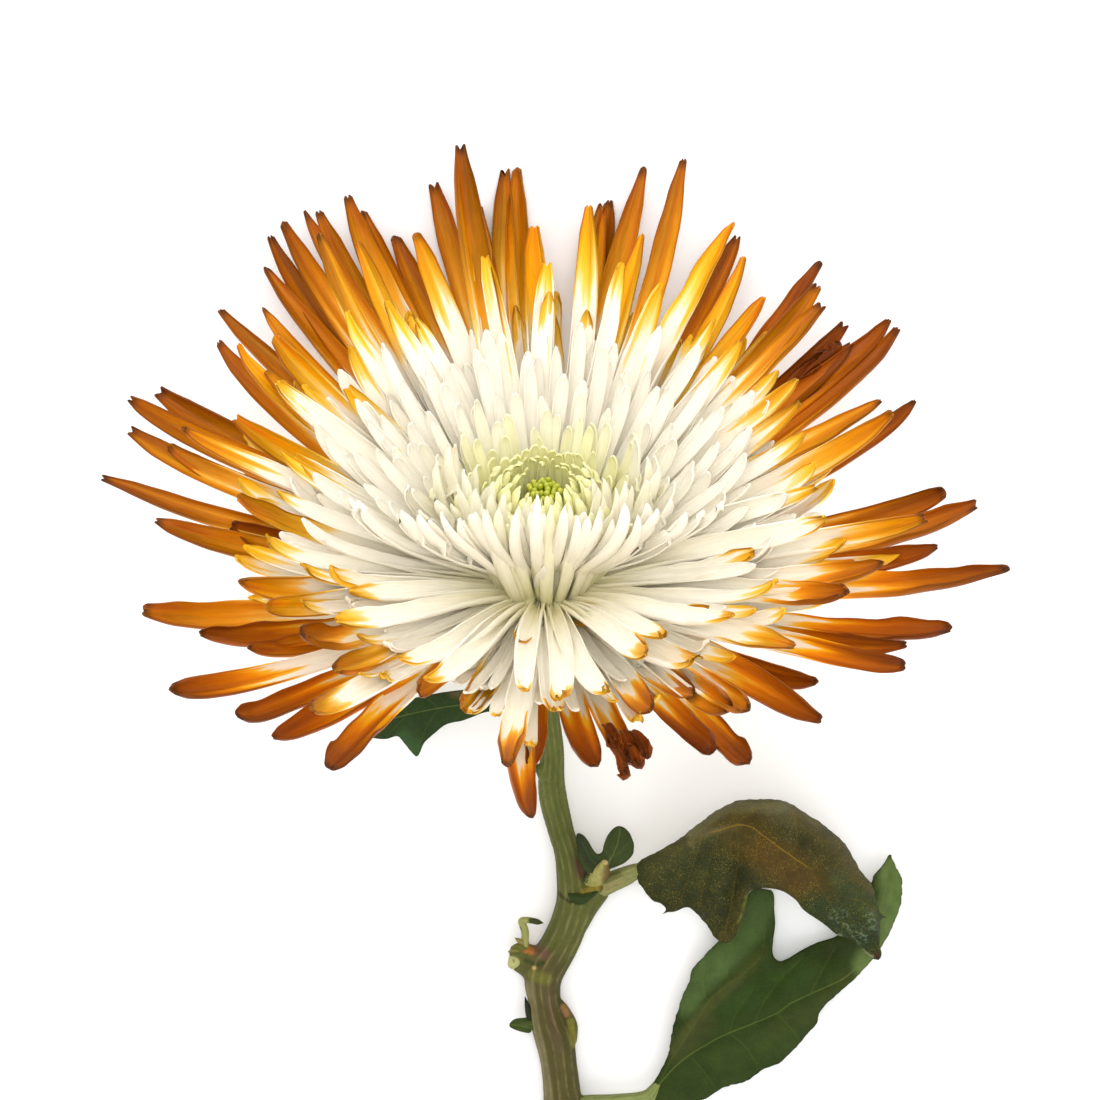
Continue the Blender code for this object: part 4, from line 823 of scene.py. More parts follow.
def strap_mesh(florets, grid):
    """Points, quads and shading values of a set of florets, each a thin channelled strap."""
    florets = list(florets)
    rings, breadth = grid
    steps = 1 - (1 - np.linspace(0, 1, rings)) ** 1.35
    lane = np.linspace(-1, 1, breadth)
    tip_knots = np.linspace(-1, 1, len(TIP_SHAPES[0]))
    shortfall = table_rows(lane, tip_knots, [TIP_SHAPES[floret["tip_shape"]] for floret in florets])
    share = steps[:, None] * (1 - shortfall[:, None, :] * smooth(steps, 0.7, 1)[:, None])
    place, face, side = strap_course(florets, share)

    widths = table_rows(steps, WIDTH_KNOTS, [WIDTH_SHARES[floret["outline"]] for floret in florets])
    curls = table_rows(steps, (0, 0.5, 1), column(florets, "curls"))[:, :, None]
    half = widths[:, :, None] * facts(florets, "width") / 2
    radius = half / np.sin(np.minimum(curls, pi / 2))
    ridges = half * RIDGE * np.cos(lane * 3 * pi) * smooth(steps, 0.05, 0.3)[:, None]
    sink = radius * (1 - np.cos(curls)) * 0.4
    reach = np.linalg.norm(column(florets, "tip") - column(florets, "root"), axis=1)[:, None, None]
    bend = facts(florets, "bend") * reach * np.sin(pi * share)
    hood = facts(florets, "hood") * smooth(share, 0.86, 1.05) ** 1.5
    number = facts(florets, "number")
    wave = np.sin(share * (19 + number % 7) + number + np.sign(lane) * 1.3) + np.sin(share * 41 + number * 2)
    ripple = facts(florets, "ripple") * half * lane**2 * wave * smooth(share, 0.2, 0.8)
    place[..., 2] = eased(place[..., 2], half * np.abs(side[..., 2]) + 0.4 * MM, SURFACE_SOFTNESS)

    def skin(turn):
        arc = radius + ridges + SHEET_HALF * (1 - 0.6 * lane**2) * turn
        across = arc * np.sin(curls * lane) + bend
        lift = radius - arc * np.cos(curls * lane) - sink + hood + ripple
        return place + side * across[..., None] + face * lift[..., None]

    points = off_floor(np.concatenate([skin(-1), skin(1)[:, :, ::-1]], axis=2))
    around = 2 * breadth
    lid = np.arange(breadth - 1)
    caps = np.stack([lid, lid + 1, around - 2 - lid, around - 1 - lid], -1) + (rings - 1) * around
    quads = copies(np.concatenate([tube_quads(rings, around), caps]), len(florets), rings * around)

    def both(values, under=1.0):
        values = np.broadcast_to(values, share.shape)
        return np.concatenate([values, values[:, :, ::-1] * under], axis=2).ravel()

    streak = 0.5 + 0.22 * np.sin(lane * 5.3 + number * 2.1 + np.sin(share * 4 + number))
    streak = streak + 0.16 * np.sin(lane * 9.7 + number * 3.7 + share * 2.2)
    streak = streak + 0.12 * np.sin(share * 9 + number * 1.3 + lane * 2)
    distance = np.linalg.norm(place - HEAD, axis=-1)
    # Painted shadow in each floret's channel: the sign picks the darker half, the size its strength
    channel_shadow_side = np.sin(number * 2.4)
    grain = (lane * 2.0 + number * 5.1, share * reach / (18 * MM), number * 1.7)
    shading = {
        "dye": both((distance - facts(florets, "dye_start")) / facts(florets, "dye_length")),
        "deep": both(facts(florets, "deep")),
        "young": both(facts(florets, "young")),
        "tone": both(facts(florets, "tone")),
        "streak": both(streak),
        "channel_shadow": both(smooth(lane * np.sign(channel_shadow_side), -0.2, 0.25) * np.abs(channel_shadow_side)),
        "along": both(share),
        "lane": both(lane),
        # 1 on each floret's upper skin, 0 on its underside, which the paint darkens as painted shade
        "inside": both(1.0, under=0.0),
        "grain": np.stack([both(part) for part in grain], -1),
    }
    return points.reshape(-1, 3), quads, shading


def make_piece(name, points, polygons, shading=None, material=None):
    """A mesh object from arrays, with its shading values kept on its points."""
    mesh = bpy.data.meshes.new(name)
    polygons = np.asarray(polygons)
    mesh.vertices.add(len(points))
    mesh.vertices.foreach_set("co", np.asarray(points, np.float32).ravel())
    mesh.loops.add(polygons.size)
    mesh.loops.foreach_set("vertex_index", polygons.astype(np.int32).ravel())
    mesh.polygons.add(len(polygons))
    mesh.polygons.foreach_set("loop_start", np.arange(0, polygons.size, polygons.shape[1], dtype=np.int32))
    mesh.update(calc_edges=True)
    mesh.polygons.foreach_set("use_smooth", np.ones(len(polygons), bool))
    for key, values in (shading or {}).items():
        values = np.asarray(values, np.float32)
        kind, field = ("FLOAT", "value") if values.ndim == 1 else ("FLOAT_VECTOR", "vector")
        mesh.attributes.new(key, kind, "POINT").data.foreach_set(field, values.ravel())
    piece = bpy.data.objects.new(name, mesh)
    bpy.context.scene.collection.objects.link(piece)
    if material:
        mesh.materials.append(material)
    return piece


def linear(red, green, blue):
    """A colour given in the 0 to 255 steps of a screen, as a shader takes it."""
    steps = np.array((red, green, blue)) / 255
    plain = np.where(steps <= 0.04045, steps / 12.92, ((steps + 0.055) / 1.055) ** 2.4)
    return (*plain, 1.0)


class Paint:
    """A material with short ways to add and join its nodes."""

    def __init__(self, name):
        self.material = bpy.data.materials.new(name)
        self.material.use_nodes = True
        self.nodes = self.material.node_tree.nodes
        self.links = self.material.node_tree.links
        self.shader = self.nodes["Principled BSDF"]

    def feed(self, socket, value):
        if isinstance(value, bpy.types.NodeSocket):
            self.links.new(value, socket)
        else:
            socket.default_value = value

    def attribute(self, name, output="Fac"):
        node = self.nodes.new("ShaderNodeAttribute")
        node.attribute_name = name
        return node.outputs[output]

    def math(self, operation, *values, clamp=False):
        node = self.nodes.new("ShaderNodeMath")
        node.operation = operation
        node.use_clamp = clamp
        for socket, value in zip(node.inputs, values):
            self.feed(socket, value)
        return node.outputs[0]

    def times(self, product, *values):
        for value in values:
            product = self.math("MULTIPLY", product, value)
        return product

    def scaled(self, value, factor, start, clamp=False):
        return self.math("MULTIPLY_ADD", value, factor, start, clamp=clamp)

    def swung(self, value, breadth, middle):
        """A value about a half, as a swing of this breadth about a middle."""
        return self.scaled(self.math("SUBTRACT", value, 0.5), breadth, middle)

    def step(self, value, low, high):
        """A soft step from 0 at low to 1 at high."""
        node = self.nodes.new("ShaderNodeMapRange")
        node.interpolation_type = "SMOOTHSTEP"
        self.feed(node.inputs["Value"], value)
        node.inputs["From Min"].default_value = low
        node.inputs["From Max"].default_value = high
        return node.outputs["Result"]

    def fade(self, value, low, high):
        """A soft step from 1 at low to 0 at high."""
        return self.math("SUBTRACT", 1.0, self.step(value, low, high))

    def noise(self, vector, scale, detail=3.0, roughness=0.55):
        node = self.nodes.new("ShaderNodeTexNoise")
        self.feed(node.inputs["Vector"], vector)
        for key, value in (("Scale", scale), ("Detail", detail), ("Roughness", roughness)):
            node.inputs[key].default_value = value
        return node.outputs["Fac"]

    def ramp(self, value, stops):
        node = self.nodes.new("ShaderNodeValToRGB")
        self.feed(node.inputs["Fac"], value)
        elements = node.color_ramp.elements
        while len(elements) < len(stops):
            elements.new(0.5)
        for element, (place, colour) in zip(elements, stops):
            element.position = place
            element.color = linear(*colour)
        return node.outputs["Color"]

    def mix(self, share, first, second, kind="MIX"):
        node = self.nodes.new("ShaderNodeMix")
        node.data_type = "RGBA"
        node.blend_type = kind
        for key, value in (("Factor", share), ("A", first), ("B", second)):
            self.feed(node.inputs[key], value)
        return node.outputs["Result"]

    def lay(self, base, share, *colour):
        """The base with this share of a colour over it."""
        return self.mix(share, base, linear(*colour))

    def shaded(self, base, value):
        """The base darkened by a value."""
        grey = self.nodes.new("ShaderNodeCombineColor")
        for socket in grey.inputs[:3]:
            self.links.new(value, socket)
        return self.mix(1.0, base, grey.outputs["Color"], "MULTIPLY")

    def finish(self, base, roughness, height, strength, depth, specular=0.5):
        """The material, with its colour, roughness, gloss and relief joined up."""
        bump = self.nodes.new("ShaderNodeBump")
        bump.inputs["Strength"].default_value = strength
        bump.inputs["Distance"].default_value = depth * MM
        self.links.new(height, bump.inputs["Height"])
        for key, value in (
            ("Base Color", base), ("Roughness", roughness), ("Specular IOR Level", specular),
            ("Normal", bump.outputs["Normal"]),
        ):
            self.feed(self.shader.inputs[key], value)
        return self.material


GOLD_DYE = (
    (0.0, (250, 240, 218)), (0.12, (252, 228, 158)), (0.30, (254, 206, 66)), (0.52, (253, 184, 16)),
    (0.80, (244, 154, 8)), (1.0, (220, 118, 16)),
)
DEEP_DYE = (
    (0.0, (249, 237, 212)), (0.08, (251, 218, 136)), (0.16, (253, 190, 28)), (0.29, (240, 142, 4)),
    (0.44, (212, 114, 6)), (0.68, (178, 88, 8)), (1.0, (140, 65, 8)),
)


def petal_paint():
    """Ivory or lime florets with painted green shade in the creases, turning gold and brown in streaks to
    their ends, with painted shade at edges, channels and undersides.
    """
    paint = Paint("ray_floret")
    fine = paint.noise(paint.attribute("grain", "Vector"), 3.2, 1.0, 0.7)
    streaks = paint.attribute("streak")
    lane = paint.math("ABSOLUTE", paint.attribute("lane"))
    along = paint.attribute("along")
    young = paint.attribute("young")
    deep = paint.attribute("deep")
    dye = paint.swung(fine, 0.30, paint.swung(streaks, 0.6, paint.attribute("dye")))
    dye = paint.scaled(paint.step(lane, 0.5, 1.0), 0.07, dye)
    dyed = paint.mix(deep, paint.ramp(dye, GOLD_DYE), paint.ramp(dye, DEEP_DYE))

    fresh = paint.mix(young, linear(254, 248, 232), linear(252, 249, 178))
    # The florets' yellow-green feet: partly their own colour, partly painted shade in the creases between
    # them
    foot = paint.mix(young, linear(251, 243, 190), linear(238, 236, 84))
    fresh = paint.mix(paint.times(paint.fade(along, 0.0, 0.5), 0.66), fresh, foot)
    # Painted shade: dark green in the creases where the florets meet the core
    fresh = paint.lay(fresh, paint.times(paint.fade(along, 0.0, 0.12), 0.75), 112, 128, 36)
    base = paint.mix(paint.step(dye, 0.0, 0.14), fresh, dyed)

    dyed_share = paint.step(dye, 0.1, 0.6)
    burn = paint.times(paint.step(along, 0.955, 0.99), dyed_share, paint.step(fine, 0.25, 0.6))
    base = paint.lay(base, paint.times(burn, paint.step(deep, 0.05, 0.5)), 78, 40, 14)
    # Painted shade: darker brown along the edges of the coloured ends, where they roll away from the light
    edge = paint.times(paint.step(lane, 0.84, 1.0), paint.times(dyed_share, 0.45))
    base = paint.lay(base, edge, 138, 68, 8)
    # Shade of the coloured ends: fine lines, streaks and a random tone, with painted shadow in the channels
    # and painted shade on the undersides
    shade = paint.times(
        paint.scaled(paint.step(fine, 0.34, 0.64), 0.24, 0.84),
        paint.scaled(paint.step(streaks, 0.3, 0.7), 0.20, 0.88),
        paint.scaled(paint.attribute("tone"), 0.30, 0.80),
        # painted shadow down one half of each channel
        paint.scaled(paint.attribute("channel_shadow"), -0.42, 1.07),
        # painted shade on the undersides
        paint.scaled(paint.attribute("inside"), 0.24, 0.76),
    )
    shade = paint.scaled(paint.math("SUBTRACT", shade, 1.0), dyed_share, 1.0, clamp=True)
    veins = paint.scaled(paint.step(fine, 0.36, 0.60), 0.045, 0.955)
    base = paint.shaded(base, paint.times(shade, veins))
    rough = paint.scaled(fine, 0.25, paint.scaled(dyed_share, -0.16, 0.42))
    return paint.finish(base, rough, fine, strength=0.4, depth=0.25, specular=0.12)


def core_paint():
    paint = Paint("floret_bases")
    patches = paint.noise(paint.nodes.new("ShaderNodeTexCoord").outputs["Object"], 900, 4.0)
    base = paint.ramp(patches, ((0.3, (52, 66, 16)), (0.5, (88, 104, 28)), (0.7, (132, 146, 54))))
    return paint.finish(base, paint.scaled(patches, 0.3, 0.45), patches, strength=0.4, depth=0.3)


def eye_paint():
    paint = Paint("disc_floret")
    patches = paint.noise(paint.nodes.new("ShaderNodeTexCoord").outputs["Object"], 1500, 3.0)
    base = paint.ramp(paint.swung(patches, 0.5, paint.attribute("high")), (
        (0.0, (66, 78, 6)), (0.4, (102, 118, 10)), (0.72, (150, 160, 26)), (1.0, (206, 210, 84)),
    ))
    base = paint.lay(base, paint.times(paint.attribute("pale"), 0.75), 226, 224, 92)
    rough = paint.scaled(patches, 0.25, 0.35)
    return paint.finish(base, rough, patches, strength=0.3, depth=0.15, specular=0.3)


def bract_paint():
    """Green bracts with a dark keel, papery edges and brown tips."""
    paint = Paint("involucre")
    fine = paint.noise(paint.attribute("grain", "Vector"), 3.0, 4.0)
    lane = paint.math("ABSOLUTE", paint.attribute("lane"))
    base = paint.ramp(fine, ((0.3, (58, 76, 34)), (0.5, (84, 102, 48)), (0.7, (112, 128, 66))))
    base = paint.lay(base, paint.times(paint.fade(lane, 0.0, 0.25), 0.5), 52, 70, 28)
    base = paint.lay(base, paint.times(paint.step(lane, 0.62, 0.95), 0.8), 176, 160, 118)
    base = paint.lay(base, paint.times(paint.step(paint.attribute("along"), 0.86, 1.0), 0.7), 120, 88, 54)
    return paint.finish(base, paint.scaled(fine, 0.3, 0.45), fine, strength=0.5, depth=0.2)


def stem_paint():
    """Pale ridges, dark green grooves, flecks, and a pale pith where the stem is cut."""
    paint = Paint("stem")
    grain = paint.attribute("grain", "Vector")
    ridge = paint.attribute("ridge")
    patches = paint.noise(grain, 1.3, 4.0, 0.65)
    flecks = paint.noise(grain, 4.0, 5.0, 0.7)
    pale = paint.times(paint.step(ridge, 0.45, 0.95), paint.step(patches, 0.36, 0.66), 0.24)
    base = paint.lay(paint.attribute("hue", "Color"), pale, 150, 140, 96)
    dark = paint.times(paint.fade(ridge, 0.10, 0.55), paint.step(flecks, 0.42, 0.62), 0.5)
    base = paint.lay(base, dark, 58, 66, 20)
    base = paint.shaded(base, paint.scaled(patches, 0.5, paint.scaled(flecks, 0.5, 0.42)))
    pith = paint.ramp(paint.attribute("radial"), (
        (0.0, (226, 226, 190)), (0.55, (204, 208, 150)), (0.78, (140, 156, 84)), (0.92, (96, 112, 52)),
    ))
    base = paint.mix(paint.attribute("cut"), base, pith)
    rough = paint.scaled(flecks, 0.3, 0.42)
    return paint.finish(base, rough, flecks, strength=0.5, depth=0.2, specular=0.16)


def blade_paint(name, speck, speck_colour, rib_colour, vein_share, edge_colour, rough):
    """A leaf's colours: stain marks with some painted light and shade, a fine net, specks, painted glints,
    pores, veins and a dark edge.
    """
    paint = Paint(name)
    grain = paint.attribute("grain", "Vector")
    soft = paint.noise(grain, 0.45, 4.0, 0.6)
    dots = paint.noise(grain, 6.6, 1.0, 0.6)
    glints = paint.noise(grain, 1.7, 3.0, 0.6)
    pores = paint.noise(grain, 9.0, 3.0, 0.7)
    cells = paint.nodes.new("ShaderNodeTexVoronoi")
    cells.feature = "DISTANCE_TO_EDGE"
    paint.feed(cells.inputs["Vector"], grain)
    cells.inputs["Scale"].default_value = 1.3
    net = paint.fade(cells.outputs["Distance"], 0.0, 0.09)
    gloss = paint.attribute("gloss")
    base = paint.shaded(paint.attribute("hue", "Color"), paint.scaled(soft, 0.7, 0.52))
    base = paint.lay(base, paint.times(net, 0.06), *rib_colour)
    specks = paint.times(paint.step(dots, 0.58, 0.71), speck, paint.step(soft, 0.30, 0.62))
    base = paint.lay(base, specks, *speck_colour)
    # Painted highlight: pale glints laid over the glossy parts
    painted_glints = paint.times(gloss, paint.step(glints, 0.50, 0.62), paint.step(pores, 0.36, 0.56), 0.34)
    base = paint.lay(base, painted_glints, 132, 156, 118)
    base = paint.lay(base, paint.times(paint.step(pores, 0.55, 0.75), 0.35), 22, 28, 10)
    for key, low, high, share, colour in (
        ("vein", 0.02, 0.30, vein_share, rib_colour),
        ("rib", 0.0, 0.18, 0.55, rib_colour),
        ("edge", 0.02, 0.22, 0.5, edge_colour),
    ):
        base = paint.lay(base, paint.times(paint.fade(paint.attribute(key), low, high), share), *colour)
    base = paint.lay(base, paint.times(paint.attribute("under"), 0.45), 104, 118, 84)
    relief = paint.math("SUBTRACT", paint.times(pores, 0.7), paint.times(net, 0.6))
    relief = paint.times(paint.math("ADD", relief, paint.times(dots, 0.5)), paint.scaled(gloss, 1.6, 1.0))
    rough = paint.scaled(gloss, -0.34, paint.scaled(pores, 0.25, rough))
    return paint.finish(base, rough, relief, strength=0.45, depth=0.18, specular=0.16)


def build_rays():
    paint = petal_paint()
    back, middle, front = rim_florets()
    for name, florets, grid in (
        ("back", back, RIM_GRID), ("middle", middle, RIM_GRID), ("front", front, RIM_GRID),
        ("inner", inner_florets(), INNER_GRID), ("filling", filling_florets(), INNER_GRID),
        ("fan", fan_florets(), INNER_GRID), ("crown", crown_florets(), INNER_GRID),
        ("withered", withered_florets(), INNER_GRID),
    ):
        yield make_piece("rays_" + name, *strap_mesh(florets, grid), paint)


def build_dome(name, profile, steps, lumps):
    """A closed skin turned about the head's axis, from radii and rises, with small lumps."""
    radii, rises = np.array(profile, float).T[:, :, None]
    turn = circle(steps)
    radius = radii * (1 + lumps * np.sin(turn * 21 + rises / MM * 2.3))
    points = HEAD + radius[..., None] * ring_of(turn, ACROSS, NEAR) + rises[..., None] * AXIS
    return make_piece(name, points.reshape(-1, 3), tube_quads(len(profile), steps), None, core_paint())


def build_core():
    """The dome that the florets grow from, seen only in the creases between them."""
    low = CORE_BASE + 0.1 * MM
    profile = [(POINT_RADIUS, low), (CORE_RADIUS * 0.84, low), (CORE_RADIUS * 0.84, low + 1.2 * MM)]
    for angle in np.linspace(0.1, pi / 2 - 0.02, 14):
        profile.append((CORE_RADIUS * 0.76 * cos(angle), CORE_RISE * 0.76 * sin(angle)))
    return build_dome("floret_bases", profile, 96, 0.03)


def build_eye():
    """Buds of disc florets packed over a low dome, each with a five-lobed tip."""
    looks = Random(SEED + 25)
    rings, sides = BUD_GRID
    turn = circle(sides)
    step = np.linspace(0, 1, rings)[:, None]
    round_off = np.sqrt(1 - np.clip((step - BUD_NECK) / (1 - BUD_NECK), 0, 1) ** 2)
    swell = np.where(step < BUD_NECK, 0.62 + 0.5 * step, round_off * 0.98 + 0.02)
    points, high, pale = [], [], []
    for number in range(EYE_BUDS):
        share = sqrt((number + 0.5) / EYE_BUDS)
        away = outward(number * GOLDEN_ANGLE)
        top = EYE_TOP - share * EYE_DOME + looks.uniform(-0.35, 0.25) * MM
        lean = radians(looks.uniform(-14, 10)) * share
        aim = AXIS * cos(lean) + away * sin(lean)
        right = unit(np.cross(aim, ACROSS + NEAR * 0.3))
        size = looks.uniform(0.42, 0.54) * MM
        length = looks.uniform(2.4, 3.2) * MM
        radius = size * swell * (1 + 0.10 * np.cos(turn * 5 + number) * smooth(step, 0.7, 0.9))
        foot = HEAD + away * (EYE_RADIUS * 0.98 * share) + AXIS * (top - length)
        ring = radius[..., None] * ring_of(turn, right, np.cross(right, aim))
        points.append((foot + step[..., None] * length * aim + ring).reshape(-1, 3))
        high.append(np.repeat(step * 1.2 - 0.25, sides))
        pale.append(np.repeat(smooth(share, 0.55, 1.0) * step, sides))
    quads = copies(tube_quads(rings, sides), EYE_BUDS, rings * sides)
    shading = {"high": np.concatenate(high), "pale": np.concatenate(pale)}
    return make_piece("eye_buds", np.concatenate(points), quads, shading, eye_paint())


def build_eye_bed():
    """The green floor that the buds stand on."""
    profile = [(POINT_RADIUS, CORE_RISE * 0.6), (EYE_RADIUS * 0.95, CORE_RISE * 0.6)]
    for angle in np.linspace(0, pi / 2 - 0.02, 8):
        profile.append((EYE_RADIUS * 0.98 * cos(angle), EYE_TOP - 3.2 * MM + 1.2 * MM * sin(angle)))
    return build_dome("eye_bed", profile, 60, 0.04)


def build_involucre():
    """The green cup under the head and its rows of overlapping bracts."""
    top = CORE_BASE + 0.3 * MM
    foot = CORE_BASE - GAP - CUP_DEPTH
    profile = [(POINT_RADIUS, top), (CUP_RADIUS * 0.92, top)]
    for share in np.linspace(0, 1, 12):
        rise = top - CUP_LIP - share * (top - foot - CUP_LIP)
        profile.append((CUP_RADIUS * (0.32 + 0.64 * sqrt(1 - share)), rise))
    profile.append((POINT_RADIUS, foot))
    cup = build_dome("involucre_cup", profile, 72, 0.012)
    return cup, make_piece("involucre_bracts", *strap_mesh(bract_florets(foot), BRACT_GRID), bract_paint())


def in_metres(rows):
    """Rows of pixel across, pixel down and millimetres, as pixels and metres."""
    rows = np.array(rows, float)
    rows[:, 2:] *= MM
    return rows


def through(rows, spacing, closed=False):
    """Rows along a smooth curve through the given rows, about this far apart in their first two numbers."""
    rows = np.array(rows, float)
    if closed:
        padded = np.vstack([rows[-1], rows, rows[0], rows[1]])
    else:
        padded = np.vstack([2 * rows[0] - rows[1], rows, 2 * rows[-1] - rows[-2]])
    found = []
    for before, start, end, after in zip(padded, padded[1:], padded[2:], padded[3:]):
        count = max(1, int(np.ceil(np.linalg.norm((end - start)[:2]) / spacing)))
        for share in np.arange(count) / count:
            found.append(0.5 * (
                2 * start + (end - before) * share + (2 * before - 5 * start + 4 * end - after) * share**2
                + (3 * start - before - 3 * end + after) * share**3
            ))
    return np.array(found if closed else found + [rows[-1]])


def frames_along(path):
    """At each place of a path: its direction, and the level and the upward direction across it."""
    aim = unit(np.gradient(path, axis=0))
    level = unit(np.cross(aim, (0, 0, 1)))
    return aim, level, np.cross(level, aim)


def pipe_mesh(path, radii, sides=16, cut=False):
    """Points and quads of a closed tube along places, its ends rounded, or the last one cut flat."""
    aim, level, rise = frames_along(path)
    bulge = np.linspace(pi / 2, 0, 5)[:-1]
    lids = []
    for end, sign, flat in ((0, -1, False), (-1, 1, cut)):
        sizes, shifts = np.cos(bulge), np.sin(bulge) * 0.9
        if flat:
            sizes, shifts = np.array((0.0, 0.96)), np.zeros(2)
        middles = path[end] + np.multiply.outer(radii[end] * shifts * sign, aim[end])
        across = (np.tile(direction[end], (len(sizes), 1)) for direction in (level, rise))
        lids.append((middles, np.maximum(radii[end] * sizes, POINT_RADIUS), *across))
    first, last = lids
    tube = (path, radii, level, rise)
    middles, sizes, level, rise = (
        np.concatenate([start, row, end[::-1]]) for start, row, end in zip(first, tube, last)
    )
    points = middles[:, None] + sizes[:, None, None] * ring_of(circle(sides), level[:, None], rise[:, None])
    return points.reshape(-1, 3), tube_quads(len(middles), sides)


def pixel_pipe(rows, spacing, sides=16):
    """A tube along rows of pixel across, pixel down, height and radius."""
    rows = through(in_metres(rows), spacing)
    return pipe_mesh(at(*rows.T[:3]), rows[:, 3], sides)


def one_skin(meshes, voxel, rounds):
    """Points and quads of one even, softened skin round overlapping closed meshes."""
    starts = np.cumsum([0] + [len(points) for points, _ in meshes])
    quads = np.concatenate([quads + start for (_, quads), start in zip(meshes, starts)])
    rough = make_piece("rough", np.concatenate([points for points, _ in meshes]), quads)
    remesh = rough.modifiers.new("Skin", "REMESH")
    remesh.mode = "VOXEL"
    remesh.voxel_size = voxel
    soften = rough.modifiers.new("Soften", "SMOOTH")
    soften.iterations = rounds
    soften.factor = 0.5
    mesh = rough.evaluated_get(bpy.context.evaluated_depsgraph_get()).to_mesh()
    points = np.empty(len(mesh.vertices) * 3)
    mesh.vertices.foreach_get("co", points)
    quads = np.empty(len(mesh.loops), int)
    mesh.loops.foreach_get("vertex_index", quads)
    bpy.data.objects.remove(rough)
    return points.reshape(-1, 3), quads.reshape(-1, 4)


def nearest(spots, line):
    """Distance of each spot from a line through rows, the row number it is nearest to, and its side."""
    line = np.array(line, float)[:, :2]
    if len(line) == 1:
        return np.linalg.norm(spots - line[0], axis=1), np.zeros(len(spots)), np.zeros(len(spots), bool)
    start, step = line[:-1], np.diff(line, axis=0)
    away = spots[:, None, :] - start
    share = np.clip((away * step).sum(-1) / (step**2).sum(-1), 0, 1)
    gap = np.linalg.norm(away - share[..., None] * step, axis=-1)
    pick = gap.argmin(axis=1)
    rows = np.arange(len(spots))
    turn = step[pick, 0] * away[rows, pick, 1] - step[pick, 1] * away[rows, pick, 0]
    return gap[rows, pick], pick + share[rows, pick], turn < 0


def spread_from(spots, line, radius):
    """How much of something that spreads this far from a line each spot has."""
    return 1 - smooth(nearest(spots, line)[0], radius * 0.3, radius)


def with_stains_and_painted_light(spots, ground, stains_and_painted_light):
    """Colours of spots: a ground colour with soft stain marks, some of them painted light and shade, along
    lines of pixels laid over it in turn.
    """
    colours = np.tile(linear(*ground)[:3], (len(spots), 1))
    for line, radius, colour, strength in stains_and_painted_light:
        share = (strength * spread_from(spots, line, radius))[:, None]
        colours = colours * (1 - share) + np.array(linear(*colour)[:3]) * share
    return colours


def bark(points, ridge, grain, ground, stains_and_painted_light, cut=0.0, radial=1.0):
    """The shading values that the stem's colours need."""
    plain = np.zeros(len(points))
    return {
        "ridge": ridge, "cut": plain + cut, "radial": plain + radial, "grain": grain,
        "hue": with_stains_and_painted_light(pixels_of(points), ground, stains_and_painted_light),
    }


def stem_places():
    """The stem's centre line with its radii: first down the head's axis, then through the pixels' rows."""
    top = CORE_BASE - 2 * GAP - CUP_DEPTH + NECK_SINK
    neck = [(*(HEAD + AXIS * (top - down * MM)), radius * MM) for down, radius in NECK]
    path = [(*at(*row[:3]), row[3]) for row in in_metres(STEM_PATH)]
    return through(np.array(neck + path) / MM, 0.6) * MM


def build_stem(material):
    """The stem with its swellings and side growths under one ribbed skin."""
    line = stem_places()
    path, radii = line[:, :3], line[:, 3]
    meshes = [pipe_mesh(path, radii, STEM_SIDES, cut=True)]
    meshes += [pixel_pipe(growth, 1.2) for growth in STEM_GROWTHS]
    points, quads = one_skin(meshes, 0.27 * MM, 7)

    pick = ((points[:, None, :] - path[None, ::2]) ** 2).sum(-1).argmin(axis=1) * 2
    aim, level, rise = (directions[pick] for directions in frames_along(path))
    away = points - path[pick]
    angle = np.arctan2((away * rise).sum(-1), (away * level).sum(-1))
    down = np.cumsum(np.linalg.norm(np.diff(path, axis=0, prepend=path[:1]), axis=1))[pick]
    down = down + (away * aim).sum(-1)
    distance = np.linalg.norm(away, axis=1)
    radial = distance / radii[pick]
    on_stem = 1 - smooth(radial, 1.08, 1.35)
    ridge = (0.5 + 0.5 * np.cos(angle * STEM_RIDGES + np.sin(down / (9 * MM)) * 0.8)) ** 1.8
    cut = smooth(path[-1, 1] - points[:, 1], -0.25 * MM, 0.0)
    lift = STEM_RIDGE_HEIGHT * (ridge - 0.4) * on_stem
    lift += STEM_SWELL * np.sin(angle * 2 + down / (3.1 * MM)) * np.sin(down / (4.7 * MM))
    points = off_floor(points + away / distance[:, None] * (lift * (1 - cut))[:, None])
    grain = np.stack([angle * 2.2, down / (3 * MM), distance / MM * 0.4], -1)
    shading = bark(points, ridge * on_stem, grain, STEM_GROUND, STEM_STAINS_AND_PAINTED_LIGHT, cut, radial)
    return make_piece("stem_skin", points, quads, shading, material)


def build_twigs(material):
    """Small round growths that are too fine for the stem's own skin."""
    for name, rows, ground, stains_and_painted_light in TWIGS:
        points, quads = pixel_pipe(rows, 0.7, TWIG_SIDES)
        across, down = pixels_of(points).T
        ridge = 0.3 + 0.3 * np.sin(across * 1.9) * np.cos(down * 1.4)
        grain = points / MM * np.array((1.4, 0.6, 1.4))
        yield make_piece(name, points, quads, bark(points, ridge, grain, ground, stains_and_painted_light), material)


